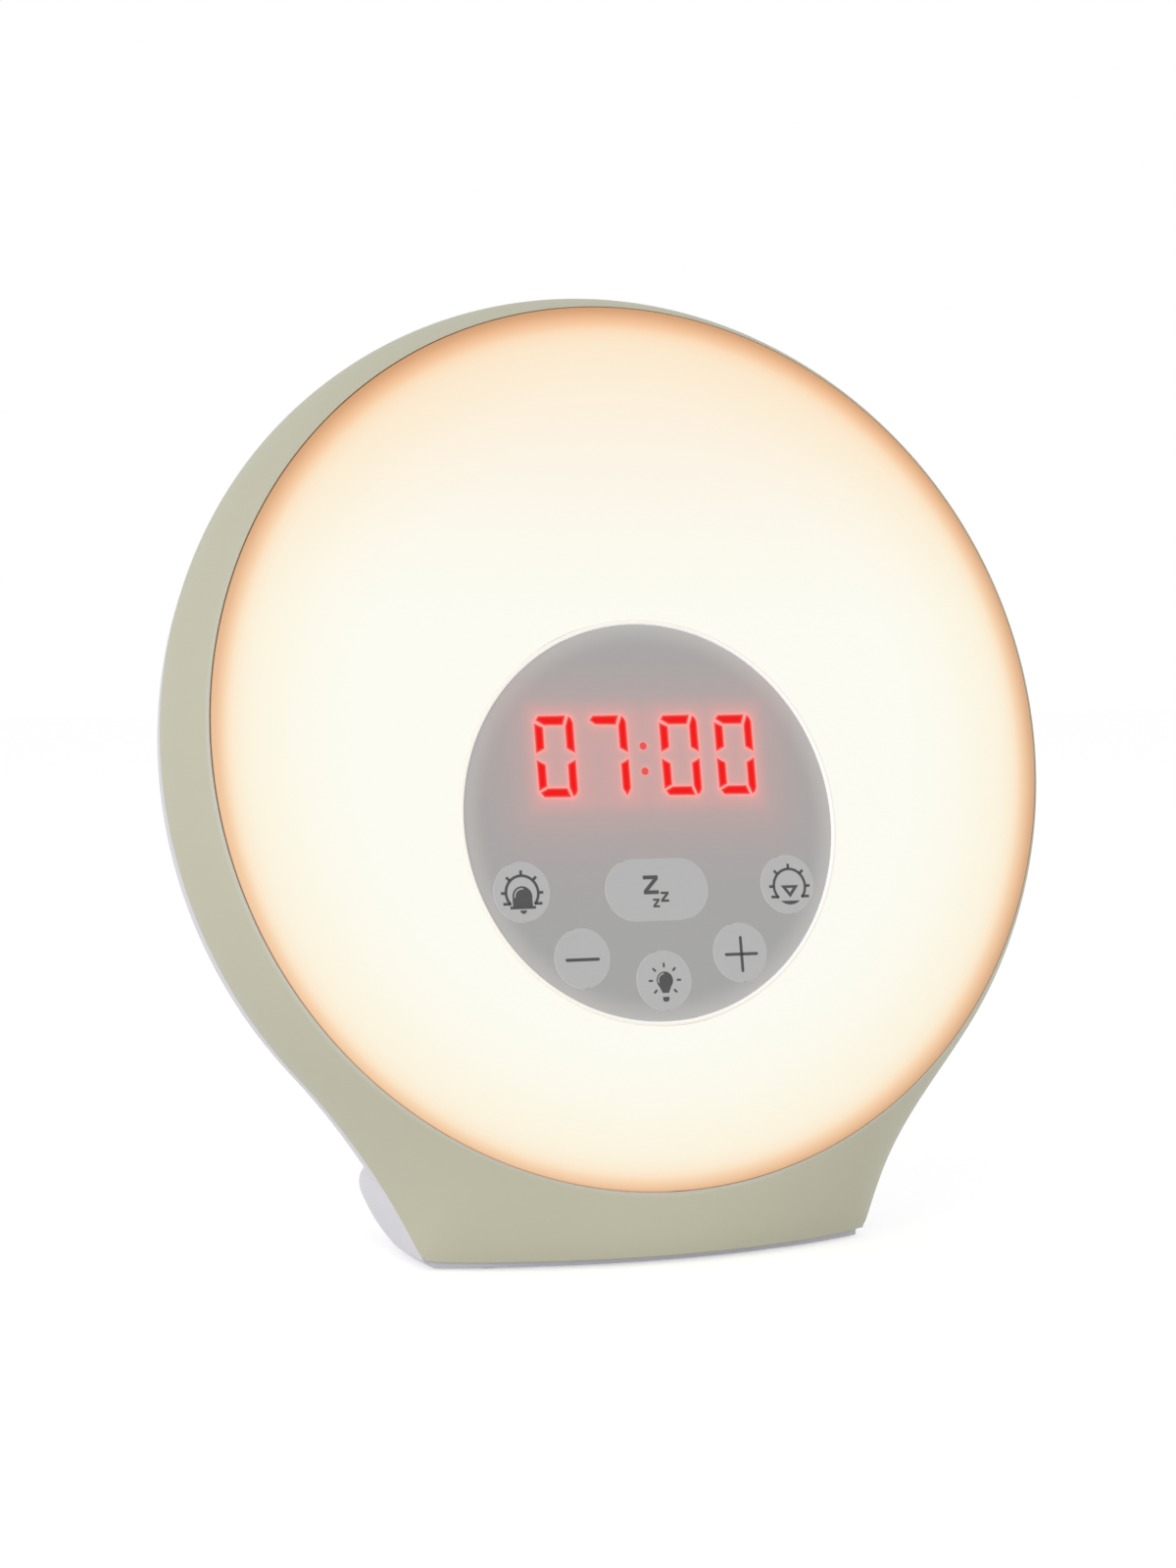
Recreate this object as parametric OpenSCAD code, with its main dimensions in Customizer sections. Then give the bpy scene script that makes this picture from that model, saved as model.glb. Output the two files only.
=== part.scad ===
// Sunrise alarm clock. A round opal lamp face leans back on a splayed base. A round
// control panel with a four-digit display and six push keys sits low in the face.
// Z is up and the face looks towards -Y. The origin is on the table, below the
// middle of the body. Pieces of the head are drawn in the face's own frame: u to
// the right, v up the face, w out of the face, zero at the front of the trim ring.

/* [Lamp head] */
// Outer radius of the front lip
face_r = 82.5; // [80:0.5:86]
// Angle that the head leans back
lean = 11; // [8:0.5:13]
// Height of the face's lowest point above the table
face_low = 13.3; // [12:0.1:16]
// Distance of the face centre in front of the origin
face_forward = 17; // [15:0.5:19]
// Width of the lip around the diffuser
lip_w = 0.3; // [0.3:0.1:0.6]
// Depth of the lip's front behind the trim ring's front
lip_set = 0.8; // [0.6:0.1:1]
// Radius gained from the lip to the housing's back edge
shell_w = 4.6; // [4:0.1:6]
// Bulge of the housing's wall, 1 is straight
shell_bulge = 2.15; // [1.5:0.05:2.6]
// Depth of the front housing's back edge behind the trim ring's front
shell_depth = 15.9; // [15.4:0.1:18]
// Wall of the front housing
wall = 2.4; // [2:0.1:2.6]

/* [Neck and base] */
// Width of the base at its front corners
base_w = 88.6; // [84:0.2:94]
// Bow of the base's front edge
base_bow = 10.9; // [9.6:0.1:12]
// Radius of the hollow neck between head and base
neck_r = 127; // [110:1:150]
// Height of the front housing's lower edge
skirt_z = 1.6; // [1.4:0.1:2.2]
// Height of the rear foot
foot_z = 15.4; // [14.4:0.2:18]
// Length of the rear foot behind the front housing
foot_len = 48.5; // [46:0.5:54]
// Squareness of the foot's plan, 2 is an ellipse
foot_square = 3.7; // [3:0.1:4.4]
// Distance that the foot's back is tucked in at its lower edge
foot_tuck = 11; // [8:0.5:12]
// Rounding of the foot's top edge
foot_crown = 6.5; // [4:0.5:7]
// Setback of the base plate from the housing edge
plate_inset = 1.8; // [1.2:0.1:2.4]
// Radius of a rubber foot pad
pad_r = 5; // [4:0.5:6]
// Thickness of a rubber foot pad
pad_t = 1; // [0.8:0.1:1.1]
// Height that the base plate stands off the table
pad_proud = 0.4; // [0.3:0.1:0.6]

/* [Rear cover] */
// Room between the reflector's back and the speaker's magnet
speaker_room = 0.7; // [0.5:0.1:4]
// Wall of the rear cover and the rear foot
cover_wall = 2.2; // [1.8:0.1:2.4]
// Setback of the cover's edge from the housing edge
cover_inset = 0.2; // [0.1:0.05:0.4]
// Shrinkage of the cover's outline from its edge to its flat back
cover_shrink = 24; // [20:0.5:26]
// Roundness of the cover's side, 2 is a quarter ellipse and more is squarer
cover_round = 2.2; // [2:0.1:2.6]
// Length of the longest grille slot
slot_len = 40; // [34:1:42]
// Height of a grille slot
slot_h = 2; // [1.4:0.1:2.4]
// Pitch of the grille slots
slot_pitch = 4.4; // [4:0.1:5]

/* [Diffuser and reflector] */
// Thickness of the opal diffuser
diffuser_t = 2; // [1.6:0.1:2.4]
// Depth of the diffuser's front behind the trim ring's front
diffuser_set = 0.2; // [0.2:0.1:0.4]
// Radius of the diffuser's rounded edge
diffuser_edge = 0.8; // [0.6:0.1:1.2]
// Depth of the diffuser's rim behind the trim ring's front
diffuser_rim = 9.2; // [8.6:0.1:9.6]
// Radial clearance of the diffuser in the lip
diffuser_gap = 0.1; // [0.05:0.05:0.2]
// Thickness of the reflector
reflector_t = 1.6; // [1.2:0.1:1.8]
// Depth of the reflector's floor behind the trim ring's front
reflector_floor = 22; // [21.5:0.1:22.4]
// Width of the ring board that carries the lamps
ring_w = 12; // [10:0.5:12]
// Thickness of the circuit boards
board_t = 1.6; // [1.2:0.1:1.8]
// Number of lamps on the ring board
led_count = 36; // [24:1:44]
// Width of one lamp package
led_w = 3.5; // [2.8:0.1:3.6]
// Height of one lamp package
led_t = 0.9; // [0.7:0.1:1.2]

/* [Control panel] */
// Radius of the panel
panel_r = 36.6; // [36.3:0.1:37]
// Height of the panel's centre above the face's lowest point, up the face
panel_low = 67.5; // [66.5:0.5:69.5]
// Thickness of the panel
panel_t = 2; // [1.6:0.1:2.2]
// Depth of the panel's front behind the trim ring's front
panel_set = 0.5; // [0.3:0.1:0.8]
// Width of the bright trim ring
trim_w = 0.8; // [0.6:0.1:1.2]
// Width of the flange behind the trim ring and of the panel housing's wall
trim_flange = 2; // [1.6:0.1:2.4]
// Depth of the control board's front behind the trim ring's front
control_depth = 12; // [11.6:0.1:12.4]
// Clearance between the control board and the panel housing
control_gap = 2.1; // [1.9:0.1:2.5]

/* [Keys] */
// Radius of a round key
key_r = 5.4; // [5:0.1:5.6]
// Radius of the circle that the round keys lie on
key_orbit = 29.2; // [29:0.1:29.5]
// Angle between neighbouring round keys
key_step = 32.5; // [30:0.5:33]
// Width of the snooze key
snooze_w = 20.4; // [18:0.2:22]
// Height of the snooze key
snooze_h = 11.2; // [10.4:0.2:11.4]
// Distance of the snooze key below the panel centre
snooze_drop = 12.6; // [12.4:0.1:13]
// Clearance around a key in the panel
key_gap = 0.1; // [0.08:0.01:0.2]
// Height of a key's front above the panel's front
key_proud = 0.1; // [0.05:0.05:0.4]
// Travel of a key
key_travel = 0.4; // [0.2:0.05:0.6]
// Width of the flange that holds a key behind the panel
key_flange = 0.9; // [0.7:0.1:1]
// Thickness of a key's flange
flange_t = 1.2; // [1:0.1:1.4]
// Radius of the stem behind a key
stem_r = 1.5; // [1.2:0.1:1.8]
// Width of a tact switch
switch_w = 6; // [5.6:0.1:6.4]
// Height of a tact switch body
switch_h = 3.5; // [3.2:0.1:3.8]
// Radius of a switch plunger
plunger_r = 1.7; // [1.5:0.1:1.9]
// Running clearance of a plunger in its switch
plunger_gap = 0.06; // [0.03:0.01:0.1]

/* [Display] */
// Distance of the display centre above the panel centre
display_rise = 12.1; // [11.8:0.1:12.6]
// Distance of the display centre right of the panel centre
display_right = 0.1; // [0:0.05:1]
// Width of the display module
display_w = 50.4; // [49:0.2:51.4]
// Height of the display module
display_h = 19.2; // [18:0.2:19.4]
// Depth of the display module
display_d = 8; // [7:0.2:8.4]
// Height of a digit
digit_h = 15.2; // [14:0.1:16]
// Width of a digit
digit_w = 7.8; // [7.4:0.1:8.6]
// Pitch of two digits of a pair
digit_pitch = 10.8; // [10:0.1:11]
// Extra space for the colon between the pairs
colon_space = 3.4; // [2.8:0.1:3.8]
// Width of a segment's stroke
stroke_w = 1.7; // [1.4:0.1:1.9]
// Gap between two segments
segment_gap = 0.28; // [0.2:0.02:0.36]
// Depth of a segment's light pipe
segment_d = 1.5; // [1:0.1:2]
// Radius of a colon dot
colon_r = 0.65; // [0.5:0.05:0.8]
// Distance between the colon dots
colon_pitch = 4.7; // [4:0.1:6]
// Distance of the colon left of and below the digits' centre
colon_shift = 0.5; // [0:0.1:0.8]

/* [Speaker] */
// Distance of the speaker centre above the face centre
speaker_rise = 22; // [20:0.5:24]
// Width of the speaker frame's rim around the cone
speaker_rim = 3; // [2.6:0.1:3.6]
// Radius of the cone with its surround
cone_r = 23; // [22:0.5:24]
// Depth of the speaker from its flange to its magnet's end
speaker_d = 10.4; // [9.8:0.1:10.6]
// Radius of the magnet
magnet_r = 11; // [10:0.5:12]
// Thickness of the magnet
magnet_t = 4; // [3.6:0.1:4.4]
// Radius of the voice coil
coil_r = 6; // [5.6:0.1:6.4]
// Travel of the cone each way from rest
cone_travel = 0.4; // [0.2:0.1:0.6]

/* [Main board and inlet] */
// Width of the main board
main_w = 76; // [72:1:80]
// Height of the main board
main_h = 38; // [36:1:40]
// Distance of the main board's centre below the panel centre
main_low = 28; // [27:0.5:29]
// Height of the posts that carry the main board
main_post = 5.2; // [5:0.1:5.6]
// Distance of the inlet's centre in from the main board's end
inlet_in = 11; // [9:0.5:13]
// Distance of the inlet below the main board's centre
inlet_low = 8; // [7:0.5:9]
// Width of the inlet socket's body
inlet_w = 9; // [8.6:0.1:9.4]
// Radius of the inlet's bore
inlet_r = 2.75; // [2.6:0.05:2.9]
// Radius of the inlet's centre pin
inlet_pin_r = 1; // [0.9:0.05:1.1]

/* [Screws and wires] */
// Shank radius of the cover and base screws
screw_r = 1.3; // [1.1:0.1:1.5]
// Head radius of the cover and base screws
screw_head_r = 2.7; // [2.4:0.1:3]
// Head height of the cover and base screws
screw_head_t = 1.6; // [1.2:0.1:2]
// Shank radius of the board screws
small_screw_r = 0.9; // [0.8:0.05:1]
// Head radius of the board screws
small_head_r = 1.9; // [1.7:0.1:2.1]
// Head height of the board screws
small_head_t = 1.2; // [1:0.1:1.4]
// Clearance between a screw and its hole
screw_gap = 0.05; // [0.03:0.01:0.1]
// Wall of plastic around a screw
boss_wall = 1.7; // [1.4:0.1:2]
// Radius of an insulated wire
wire_r = 0.6; // [0.5:0.05:0.7]
// Width of the ribbon cable
ribbon_w = 14; // [12:0.5:15]
// Thickness of the ribbon cable
ribbon_t = 0.8; // [0.6:0.1:1]

/* [Hidden] */
$fn = 64;

// Steps around the head, down each neck and along the base's front edge
head_steps = 72;
neck_steps = 8;
base_steps = 16;
// Gap between pieces that nearly touch
seat_gap = 0.1;
// Gap around a screw's head, and between a screw's tip and the end of its hole
head_gap = 0.3;
tip_gap = 0.5;
// Length that a boss runs into the wall that carries it, and a cut past its surface
sink = 0.5;
past = 1;

// The face frame
module leaning() translate([0, -face_forward, face_z]) rotate([90 - lean, 0, 0]) children();
module at_panel() translate([0, -panel_drop, 0]) children();
function v_at(z, w) = (z - face_z - w * sin(lean)) / cos(lean);
function y_on(v, w) = -face_forward + v * sin(lean) - w * cos(lean);
function to_face(p) = let (y = p.y + face_forward, z = p.z - face_z)
    [p.x, y * sin(lean) + z * cos(lean), z * sin(lean) - y * cos(lean)];

// Lower corner of the housing's back edge, and the neck arc from it to the head
opening_r = face_r - lip_w;
face_z = face_low + face_r * cos(lean);
panel_drop = face_r - panel_low;
shell_r = face_r + shell_w;
corner = [base_w / 2, v_at(skirt_z, -shell_depth)];
corner_y = y_on(corner.y, -shell_depth);
centre_dist = shell_r + neck_r;
neck_turn = acos((pow(centre_dist, 2) + pow(norm(corner), 2) - pow(neck_r, 2))
    / (2 * centre_dist * norm(corner)));
neck_angle = atan2(-corner.y, corner.x) - neck_turn;
neck_c = centre_dist * [cos(neck_angle), -sin(neck_angle)];
function neck_u(v, inset) = neck_c.x - sqrt(pow(neck_r + inset, 2) - pow(v - neck_c.y, 2));
function neck_v(f, inset, vb) =
    let (top = -(shell_r - inset) * sin(neck_angle)) top + f * (vb - top);
function bow(x, half, sag) = let (r = (pow(half, 2) + pow(sag, 2)) / (2 * sag))
    sqrt(pow(r, 2) - pow(x, 2)) - (r - sag);

// Outline of the head and neck, drawn in by inset and closed by a line at height vb
function head_arc(inset) = [for (i = [0:head_steps])
    let (a = -neck_angle + i * (180 + 2 * neck_angle) / head_steps)
    (shell_r - inset) * [cos(a), sin(a)]];
function neck_side(side, inset, vb) = [for (i = [1:neck_steps])
    let (v = neck_v(i / neck_steps, inset, vb)) [side * neck_u(v, inset), v]];
function reversed(list) = [for (i = [len(list) - 1:-1:0]) list[i]];
function outline(inset, vb) = concat(head_arc(inset), neck_side(-1, inset, vb),
    [for (i = [1:base_steps - 1]) [neck_u(vb, inset) * (2 * i / base_steps - 1), vb]],
    reversed(neck_side(1, inset, vb)));

// Edge of the front housing: level along head and neck, bowed forward at the base
function edge_ring(inset) = let (half = neck_u(corner.y, inset)) concat(
    [for (p = head_arc(inset)) [p.x, p.y, -shell_depth]],
    [for (p = neck_side(-1, inset, corner.y)) [p.x, p.y, -shell_depth]],
    [for (i = [1:base_steps - 1]) let (x = half * (2 * i / base_steps - 1))
        to_face([x, corner_y - bow(x, half, base_bow - inset), skirt_z])],
    [for (p = reversed(neck_side(1, inset, corner.y))) [p.x, p.y, -shell_depth]]);
function ray(p) = [p.x, p.y] / norm([p.x, p.y]);
// Outer wall of the front housing at a share t of its depth, from the lip to the edge
function wall_ring(edge, t) = [for (p = edge)
    let (d = ray(p) * (face_r + shell_w * (1 - pow(1 - t, shell_bulge)) + t * (norm([p.x, p.y]) - shell_r)))
    [d.x, d.y, t * (p.z + lip_set) - lip_set]];
wall_shares = [0, 0.03, 0.1, 0.22, 0.4, 0.65];
function on_rays(rim, r, w) = [for (p = rim) let (d = ray(p) * r) [d.x, d.y, w]];

// A surface through equal rings of points, closed on itself or capped at both ends
module loft(rings, closed = false) {
    n = len(rings[0]);
    rows = len(rings);
    spans = closed ? rows : rows - 1;
    polyhedron(points = [for (r = rings) each r], faces = concat(
        [for (j = [0:spans - 1]) for (i = [0:n - 1])
            let (a = j * n + i, b = j * n + (i + 1) % n,
                c = ((j + 1) % rows) * n + (i + 1) % n, d = ((j + 1) % rows) * n + i)
            each [[a, b, c], [a, c, d]]],
        closed ? [] : [[for (i = [n - 1:-1:0]) i], [for (i = [0:n - 1]) (rows - 1) * n + i]]));
}

// Seat ledge inside the front housing, behind the reflector's flange
ledge_w = 3.4;
ledge_t = 1.4;
ledge_front = diffuser_rim + reflector_t;
ledge_back = ledge_front + ledge_t;
ledge_r = opening_r - ledge_w;
shoulder_r = shell_r - wall - head_gap;
// The hollow reaches forward in the neck, where the outline runs away from the head
hollow_back = shell_depth - 2;
hollow_share = 0.3;
hollow_reach = 6;
function hollow_w(p) = let (g = min(1, max(0, (norm([p.x, p.y]) - shell_r) / hollow_reach)))
    g * (hollow_back + hollow_share * p.z - wall) - hollow_back;

// Screws that join the rear cover to the front housing
cover_screw_angles = [18, 62, 118, 162, 205, 335];
cover_screw_orbit = ledge_r + screw_r + boss_wall;
cover_bottom = foot_z + seat_gap;
cover_floor = cover_bottom + cover_wall;
post_r = screw_head_r + head_gap + boss_wall;
cover_clamp = 4;
cover_seat = shell_depth + cover_clamp;
module cover_screw_places() for (a = cover_screw_angles)
    translate([cover_screw_orbit * cos(a), cover_screw_orbit * sin(a), 0]) children();
module rod(r, from, to) translate([0, 0, min(from, to)]) cylinder(r = r, h = abs(to - from));
module tube(outer, inner, from, to) difference() {
    rod(outer, from, to);
    rod(inner, min(from, to) - past, max(from, to) + past);
}
module plate(size, from, to) translate([0, 0, (from + to) / 2])
    cube([size.x, size.y, abs(to - from)], center = true);

// Base screws: two into the front housing, four into the rear foot
base_top = skirt_z;
base_boss_r = screw_r + boss_wall;
front_screw_in = 22.3;
front_screw_x = base_w / 2 - front_screw_in;
front_screw = [front_screw_x,
    corner_y - bow(front_screw_x, base_w / 2, base_bow) + wall + base_boss_r - 2 * sink];
// Foot screws: distance in from the base's side, then distance behind its corner
foot_screw_front = [24.3, 10];
foot_screw_back = [32.3, 17.5];
foot_screws = [[base_w / 2 - foot_screw_front.x, corner_y + foot_screw_front.y],
    [base_w / 2 - foot_screw_back.x, corner_y + foot_len - foot_screw_back.y]];
base_screw_spots = [for (p = concat([front_screw], foot_screws)) for (s = [-1, 1]) [s * p.x, p.y]];
base_boss_h = 7;
base_screw_short = 1.5;
base_screw_top = base_top + base_boss_h - base_screw_short;

module front_housing() color([0.75, 0.74, 0.65]) difference() {
    union() {
        leaning() {
            edge = edge_ring(0);
            inner = edge_ring(wall);
            loft(concat([for (t = wall_shares) wall_ring(edge, t)], [edge, inner,
                [for (p = edge) let (d = ray(p) * (shoulder_r + seat_gap)) [d.x, d.y, hollow_w(p)]],
                on_rays(edge, shoulder_r, -ledge_back), on_rays(edge, ledge_r, -ledge_back),
                on_rays(edge, ledge_r, -ledge_front), on_rays(edge, opening_r, -ledge_front),
                on_rays(edge, opening_r, -lip_set)]), closed = true);
            cover_screw_places() rod(screw_r + boss_wall, -ledge_back + sink, -shell_depth);
        }
        for (s = [-1, 1]) translate([s * front_screw.x, front_screw.y, 0])
            rod(base_boss_r, base_top, base_top + base_boss_h);
    }
    leaning() cover_screw_places() rod(screw_r + screw_gap, -ledge_back - seat_gap, -shell_depth - past);
    for (s = [-1, 1]) translate([s * front_screw.x, front_screw.y, 0])
        rod(screw_r + screw_gap, base_top - past, base_screw_top + tip_gap);
}

// Depths behind the trim ring's front of the reflector, the speaker's flange and the rear cover
reflector_back = reflector_floor + reflector_t;
speaker_face = reflector_back + speaker_room + speaker_d;
gasket_t = 1.6;
cover_inner = speaker_face + gasket_t;
cover_depth = cover_inner + cover_wall;

// Rear cover: the outline shrinks towards a flat back along a rounded curve. Each step is a
// share of the cover's depth and a share of its shrinkage.
cover_steps = 7;
cover_profile = [for (i = [0:cover_steps]) let (a = 90 * i / cover_steps)
    [pow(sin(a), 2 / cover_round), 1 - pow(cos(a), 2 / cover_round)]];
function cover_ring(k, inset, depth, floor_z) =
    let (w = -shell_depth - k[0] * (depth - shell_depth), in = inset + k[1] * cover_shrink)
    [for (p = outline(in, v_at(floor_z, w))) [p.x, p.y, w]];
module cover_body(inset, depth, floor_z, lead = 0) {
    rings = [for (k = cover_profile) cover_ring(k, inset, depth, floor_z)];
    loft(lead == 0 ? rings : concat([[for (p = rings[0]) [p.x, p.y, p.z + lead]]], rings));
}

module rear_cover() color([0.93, 0.93, 0.94]) leaning() difference() {
    union() {
        difference() {
            cover_body(cover_inset, cover_depth, cover_bottom);
            cover_body(cover_inset + cover_wall, cover_inner, cover_floor, past);
        }
        intersection() {
            cover_screw_places() rod(post_r, -shell_depth - seat_gap, -cover_depth);
            cover_body(cover_inset + sink, cover_depth - sink, cover_bottom + sink);
        }
        main_screw_places() rod(small_screw_r + boss_wall, -cover_inner - sink, -main_back);
        speaker_screw_places() rod(small_screw_r + boss_wall, -cover_inner - sink, -speaker_face);
    }
    cover_screw_places() {
        rod(screw_r + screw_gap, -shell_depth + past, -cover_depth);
        rod(screw_head_r + head_gap, -cover_seat, -cover_depth - past);
    }
    main_screw_places() rod(small_screw_r + screw_gap, -cover_inner - sink, -main_back + past);
    speaker_screw_places() rod(small_screw_r + screw_gap, -cover_inner - sink, -speaker_face + past);
    grille();
    translate([-inlet_left, -inlet_drop, 0])
        plate((inlet_w + 2 * inlet_gap) * [1, 1], -cover_inner + past, -cover_depth - past);
}
slot_rows = floor(slot_len / 2 / slot_pitch);
module grille() for (k = [-slot_rows:slot_rows])
    let (y = k * slot_pitch, half = sqrt(pow(slot_len / 2 + slot_h, 2) - pow(y, 2)))
    translate([0, speaker_rise + y, 0]) plate([2 * half, slot_h], -cover_inner + past, -cover_depth - past);

// Rear foot: stacked rounded outlines that follow the neck at their front
foot_plan_steps = 40;
function foot_half(z, inset) = neck_u(v_at(z, -shell_depth), cover_inset) - inset;
function foot_y0(z) = y_on(v_at(z, -shell_depth), -shell_depth) + 1.5 * seat_gap;
function foot_point(a, half, len) = [half * cos(a) * pow(pow(abs(cos(a)), foot_square)
    + pow(abs(sin(a)), foot_square), -1 / foot_square), len * sin(a) * pow(pow(abs(cos(a)), foot_square)
    + pow(abs(sin(a)), foot_square), -1 / foot_square)];
// Layers of the foot, as shares of its height. It is tucked in at the bottom and rounded
// over at the top, where the rounding is as high as it is wide.
tuck_share = 0.42;
crown_share = 1 - foot_crown / (foot_z - skirt_z);
foot_layers = concat([for (f = [0, 0.15, 0.3, 0.5, 0.75, 1]) f * tuck_share],
    [for (f = [0, 0.36, 0.62, 0.81, 0.94, 1]) crown_share + f * (1 - crown_share)]);
function tucked(k) = foot_tuck * pow(max(0, 1 - k / tuck_share), 2.5);
function crowned(k) = foot_crown
    * (1 - sqrt(max(0, 1 - pow(max(0, (k - crown_share) / (1 - crown_share)), 2))));
function foot_ring(k, inset) = let (z = skirt_z + k * (foot_z - skirt_z),
    draw = inset + crowned(k), y0 = foot_y0(z) + max(0, inset))
    [for (i = [0:foot_plan_steps]) let (p = foot_point(180 * i / foot_plan_steps, foot_half(z, draw),
        corner_y + foot_len - tucked(k) - draw - y0)) [p.x, y0 + p.y, z]];
module foot_body() loft(reversed([for (k = foot_layers) foot_ring(k, 0)]));
module foot_hollow() intersection() {
    loft(reversed([for (k = foot_layers) foot_ring(k, cover_wall)]));
    translate([-base_w, -base_w, 0]) cube([2 * base_w, 2 * base_w, foot_z - cover_wall]);
}

module rear_foot() color([0.93, 0.93, 0.94]) difference() {
    union() {
        difference() {
            foot_body();
            foot_hollow();
        }
        for (p = foot_screws) for (s = [-1, 1]) translate([s * p.x, p.y, 0])
            rod(base_boss_r, base_top, foot_z - cover_wall + sink);
    }
    for (p = foot_screws) for (s = [-1, 1]) translate([s * p.x, p.y, 0])
        rod(screw_r + screw_gap, base_top - past, base_screw_top + tip_gap);
}

// Base plate: the bowed front edge and the foot's lowest outline, drawn in a little
plate_half = base_w / 2 - plate_inset;
plate_setback = 0.6;
head_plate_t = 0.5;
plate_front = [for (i = [0:base_steps]) let (x = plate_half * (2 * i / base_steps - 1))
    [x, corner_y - bow(x, plate_half, base_bow - plate_inset)]];
plate_back = [for (i = [0:foot_plan_steps])
    let (p = foot_point(180 * i / foot_plan_steps, plate_half, foot_len - foot_tuck - plate_setback))
    [p.x, corner_y + p.y]];
// Pads: distance in from the base's side, then from its corner or from the plate's back
pad_front = [13.3, 3];
pad_back = [20.3, 9];
pad_spots = [[base_w / 2 - pad_front.x, corner_y + pad_front.y],
    [base_w / 2 - pad_back.x, corner_y + foot_len - foot_tuck - pad_back.y]];
module pad_places() for (p = pad_spots) for (s = [-1, 1]) translate([s * p.x, p.y, 0]) children();

module base_plate() color([0.86, 0.86, 0.89]) difference() {
    translate([0, 0, pad_proud]) linear_extrude(base_top - pad_proud)
        polygon(concat(plate_front, [for (i = [1:foot_plan_steps - 1]) plate_back[i]]));
    pad_places() rod(pad_r + seat_gap, -past, pad_t);
    for (p = base_screw_spots) translate([p.x, p.y, 0]) {
        rod(screw_r + screw_gap, 0, base_top + past);
        rod(screw_head_r + head_gap, 0, base_top - head_plate_t);
    }
}
module foot_pads() color([0.35, 0.35, 0.37]) pad_places() rod(pad_r, 0, pad_t);
module base_screws() color("silver") for (p = base_screw_spots) translate([p.x, p.y, 0]) {
    rod(screw_r, base_top - head_plate_t, base_screw_top);
    rod(screw_head_r, pad_proud + seat_gap, base_top - head_plate_t);
}
module cover_screws() color("silver") leaning() cover_screw_places() {
    rod(screw_r, -ledge_back - seat_gap - tip_gap, -cover_seat);
    rod(screw_head_r, -cover_seat, -cover_seat - screw_head_t);
}

// Diffuser: a flat opal disc with a rounded edge, a rim and a hole for the panel
diffuser_r = opening_r - diffuser_gap;
diffuser_back = diffuser_set + diffuser_t;
trim_r = panel_r + seat_gap + trim_w;
// Half section of a pan: radius, top, bottom and the rounding of its edge
module pan_section(r, top, bottom, edge) {
    translate([0, bottom]) square([r - edge, top - bottom]);
    translate([0, bottom]) square([r, top - edge - bottom]);
    translate([r - edge, top - edge]) circle(edge);
}
diffuser_inner_edge = max(diffuser_edge - diffuser_t, 0.2);
module diffuser() color([1, 0.97, 0.9]) leaning() difference() {
    rotate_extrude($fn = 128) intersection() {
        difference() {
            pan_section(diffuser_r, -diffuser_set, -diffuser_rim, diffuser_edge);
            pan_section(diffuser_r - diffuser_t, -diffuser_back, -diffuser_rim - past, diffuser_inner_edge);
        }
        translate([0, -diffuser_rim]) square([face_r, diffuser_rim]);
    }
    at_panel() rod(trim_r + seat_gap / 2, -diffuser_back - past, past);
}
// Reflector: a white dish with a flange under the diffuser's rim
flange_r = diffuser_r - seat_gap;
cone_front_r = ledge_r - head_gap;
module reflector() color("white") leaning() difference() {
    rotate_extrude($fn = 128) polygon([[flange_r, -diffuser_rim], [flange_r, -ledge_front],
        [cone_front_r, -ledge_front], [reflector_r, -shell_depth], [reflector_r, -reflector_back],
        [0, -reflector_back], [0, -reflector_floor], [reflector_r - reflector_t, -reflector_floor],
        [reflector_r - reflector_t, -shell_depth], [cone_front_r - reflector_t, -diffuser_rim]]);
    ring_screw_places() rod(small_screw_r + screw_gap, 0, -cover_depth);
    at_panel() housing_screw_places() rod(small_screw_r + screw_gap, 0, -cover_depth);
    wire_hole() rod(wire_split + 2 * wire_r, 0, -cover_depth);
    at_panel() ribbon_slot();
}
// The reflector's lowest edge clears the rear cover's floor
reflector_r = -v_at(cover_floor, -reflector_back) - 6 * seat_gap;
ring_out_r = reflector_r - reflector_t - 8 * seat_gap;
ring_in_r = ring_out_r - ring_w;

module trim_ring() color("white") leaning() at_panel() {
    tube(trim_r, panel_r + seat_gap / 2, 0, -diffuser_back);
    tube(trim_r + trim_flange, panel_r + seat_gap / 2, -diffuser_back, -trim_back);
}
trim_flange_t = 0.9;
trim_back = diffuser_back + trim_flange_t;
panel_back = panel_set + panel_t;

// Keys: the round ones lie on an arc, in order from the right
round_keys = ["sunset", "plus", "light", "minus", "alarm"];
function key_angle(name) = -90 + (2 - search([name], round_keys)[0]) * key_step;
function key_place(name) = name == "snooze" ? [0, -snooze_drop]
    : key_orbit * [cos(key_angle(name)), sin(key_angle(name))];
key_names = concat(round_keys, ["snooze"]);
module at_key(name) leaning() at_panel() translate(key_place(name)) children();
module pill(w, h) for (s = [-1, 1]) {
    translate([s * (w - h) / 2, 0]) circle(h / 2);
    square([w - h, h], center = true);
}
module key_outline(name, grow) if (name == "snooze") pill(snooze_w + 2 * grow, snooze_h + 2 * grow);
    else circle(key_r + grow);
key_front = panel_set - key_proud;
flange_front = panel_back + seat_gap;
flange_back = flange_front + flange_t;
plunger_out = 2;
plunger_front = control_depth - switch_h - plunger_out;
switch_floor_t = 0.4;
module key(name) at_key(name) {
    translate([0, 0, -flange_back]) {
        linear_extrude(flange_back - key_front) key_outline(name, 0);
        linear_extrude(flange_t) key_outline(name, key_flange);
    }
    rod(stem_r, -flange_back, -plunger_front);
}
module plunger(name) at_key(name) color([0.3, 0.3, 0.32])
    rod(plunger_r, -plunger_front, -control_depth + switch_floor_t + key_travel + seat_gap);
module keycap(name) color([0.74, 0.74, 0.75]) key(name);

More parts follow.
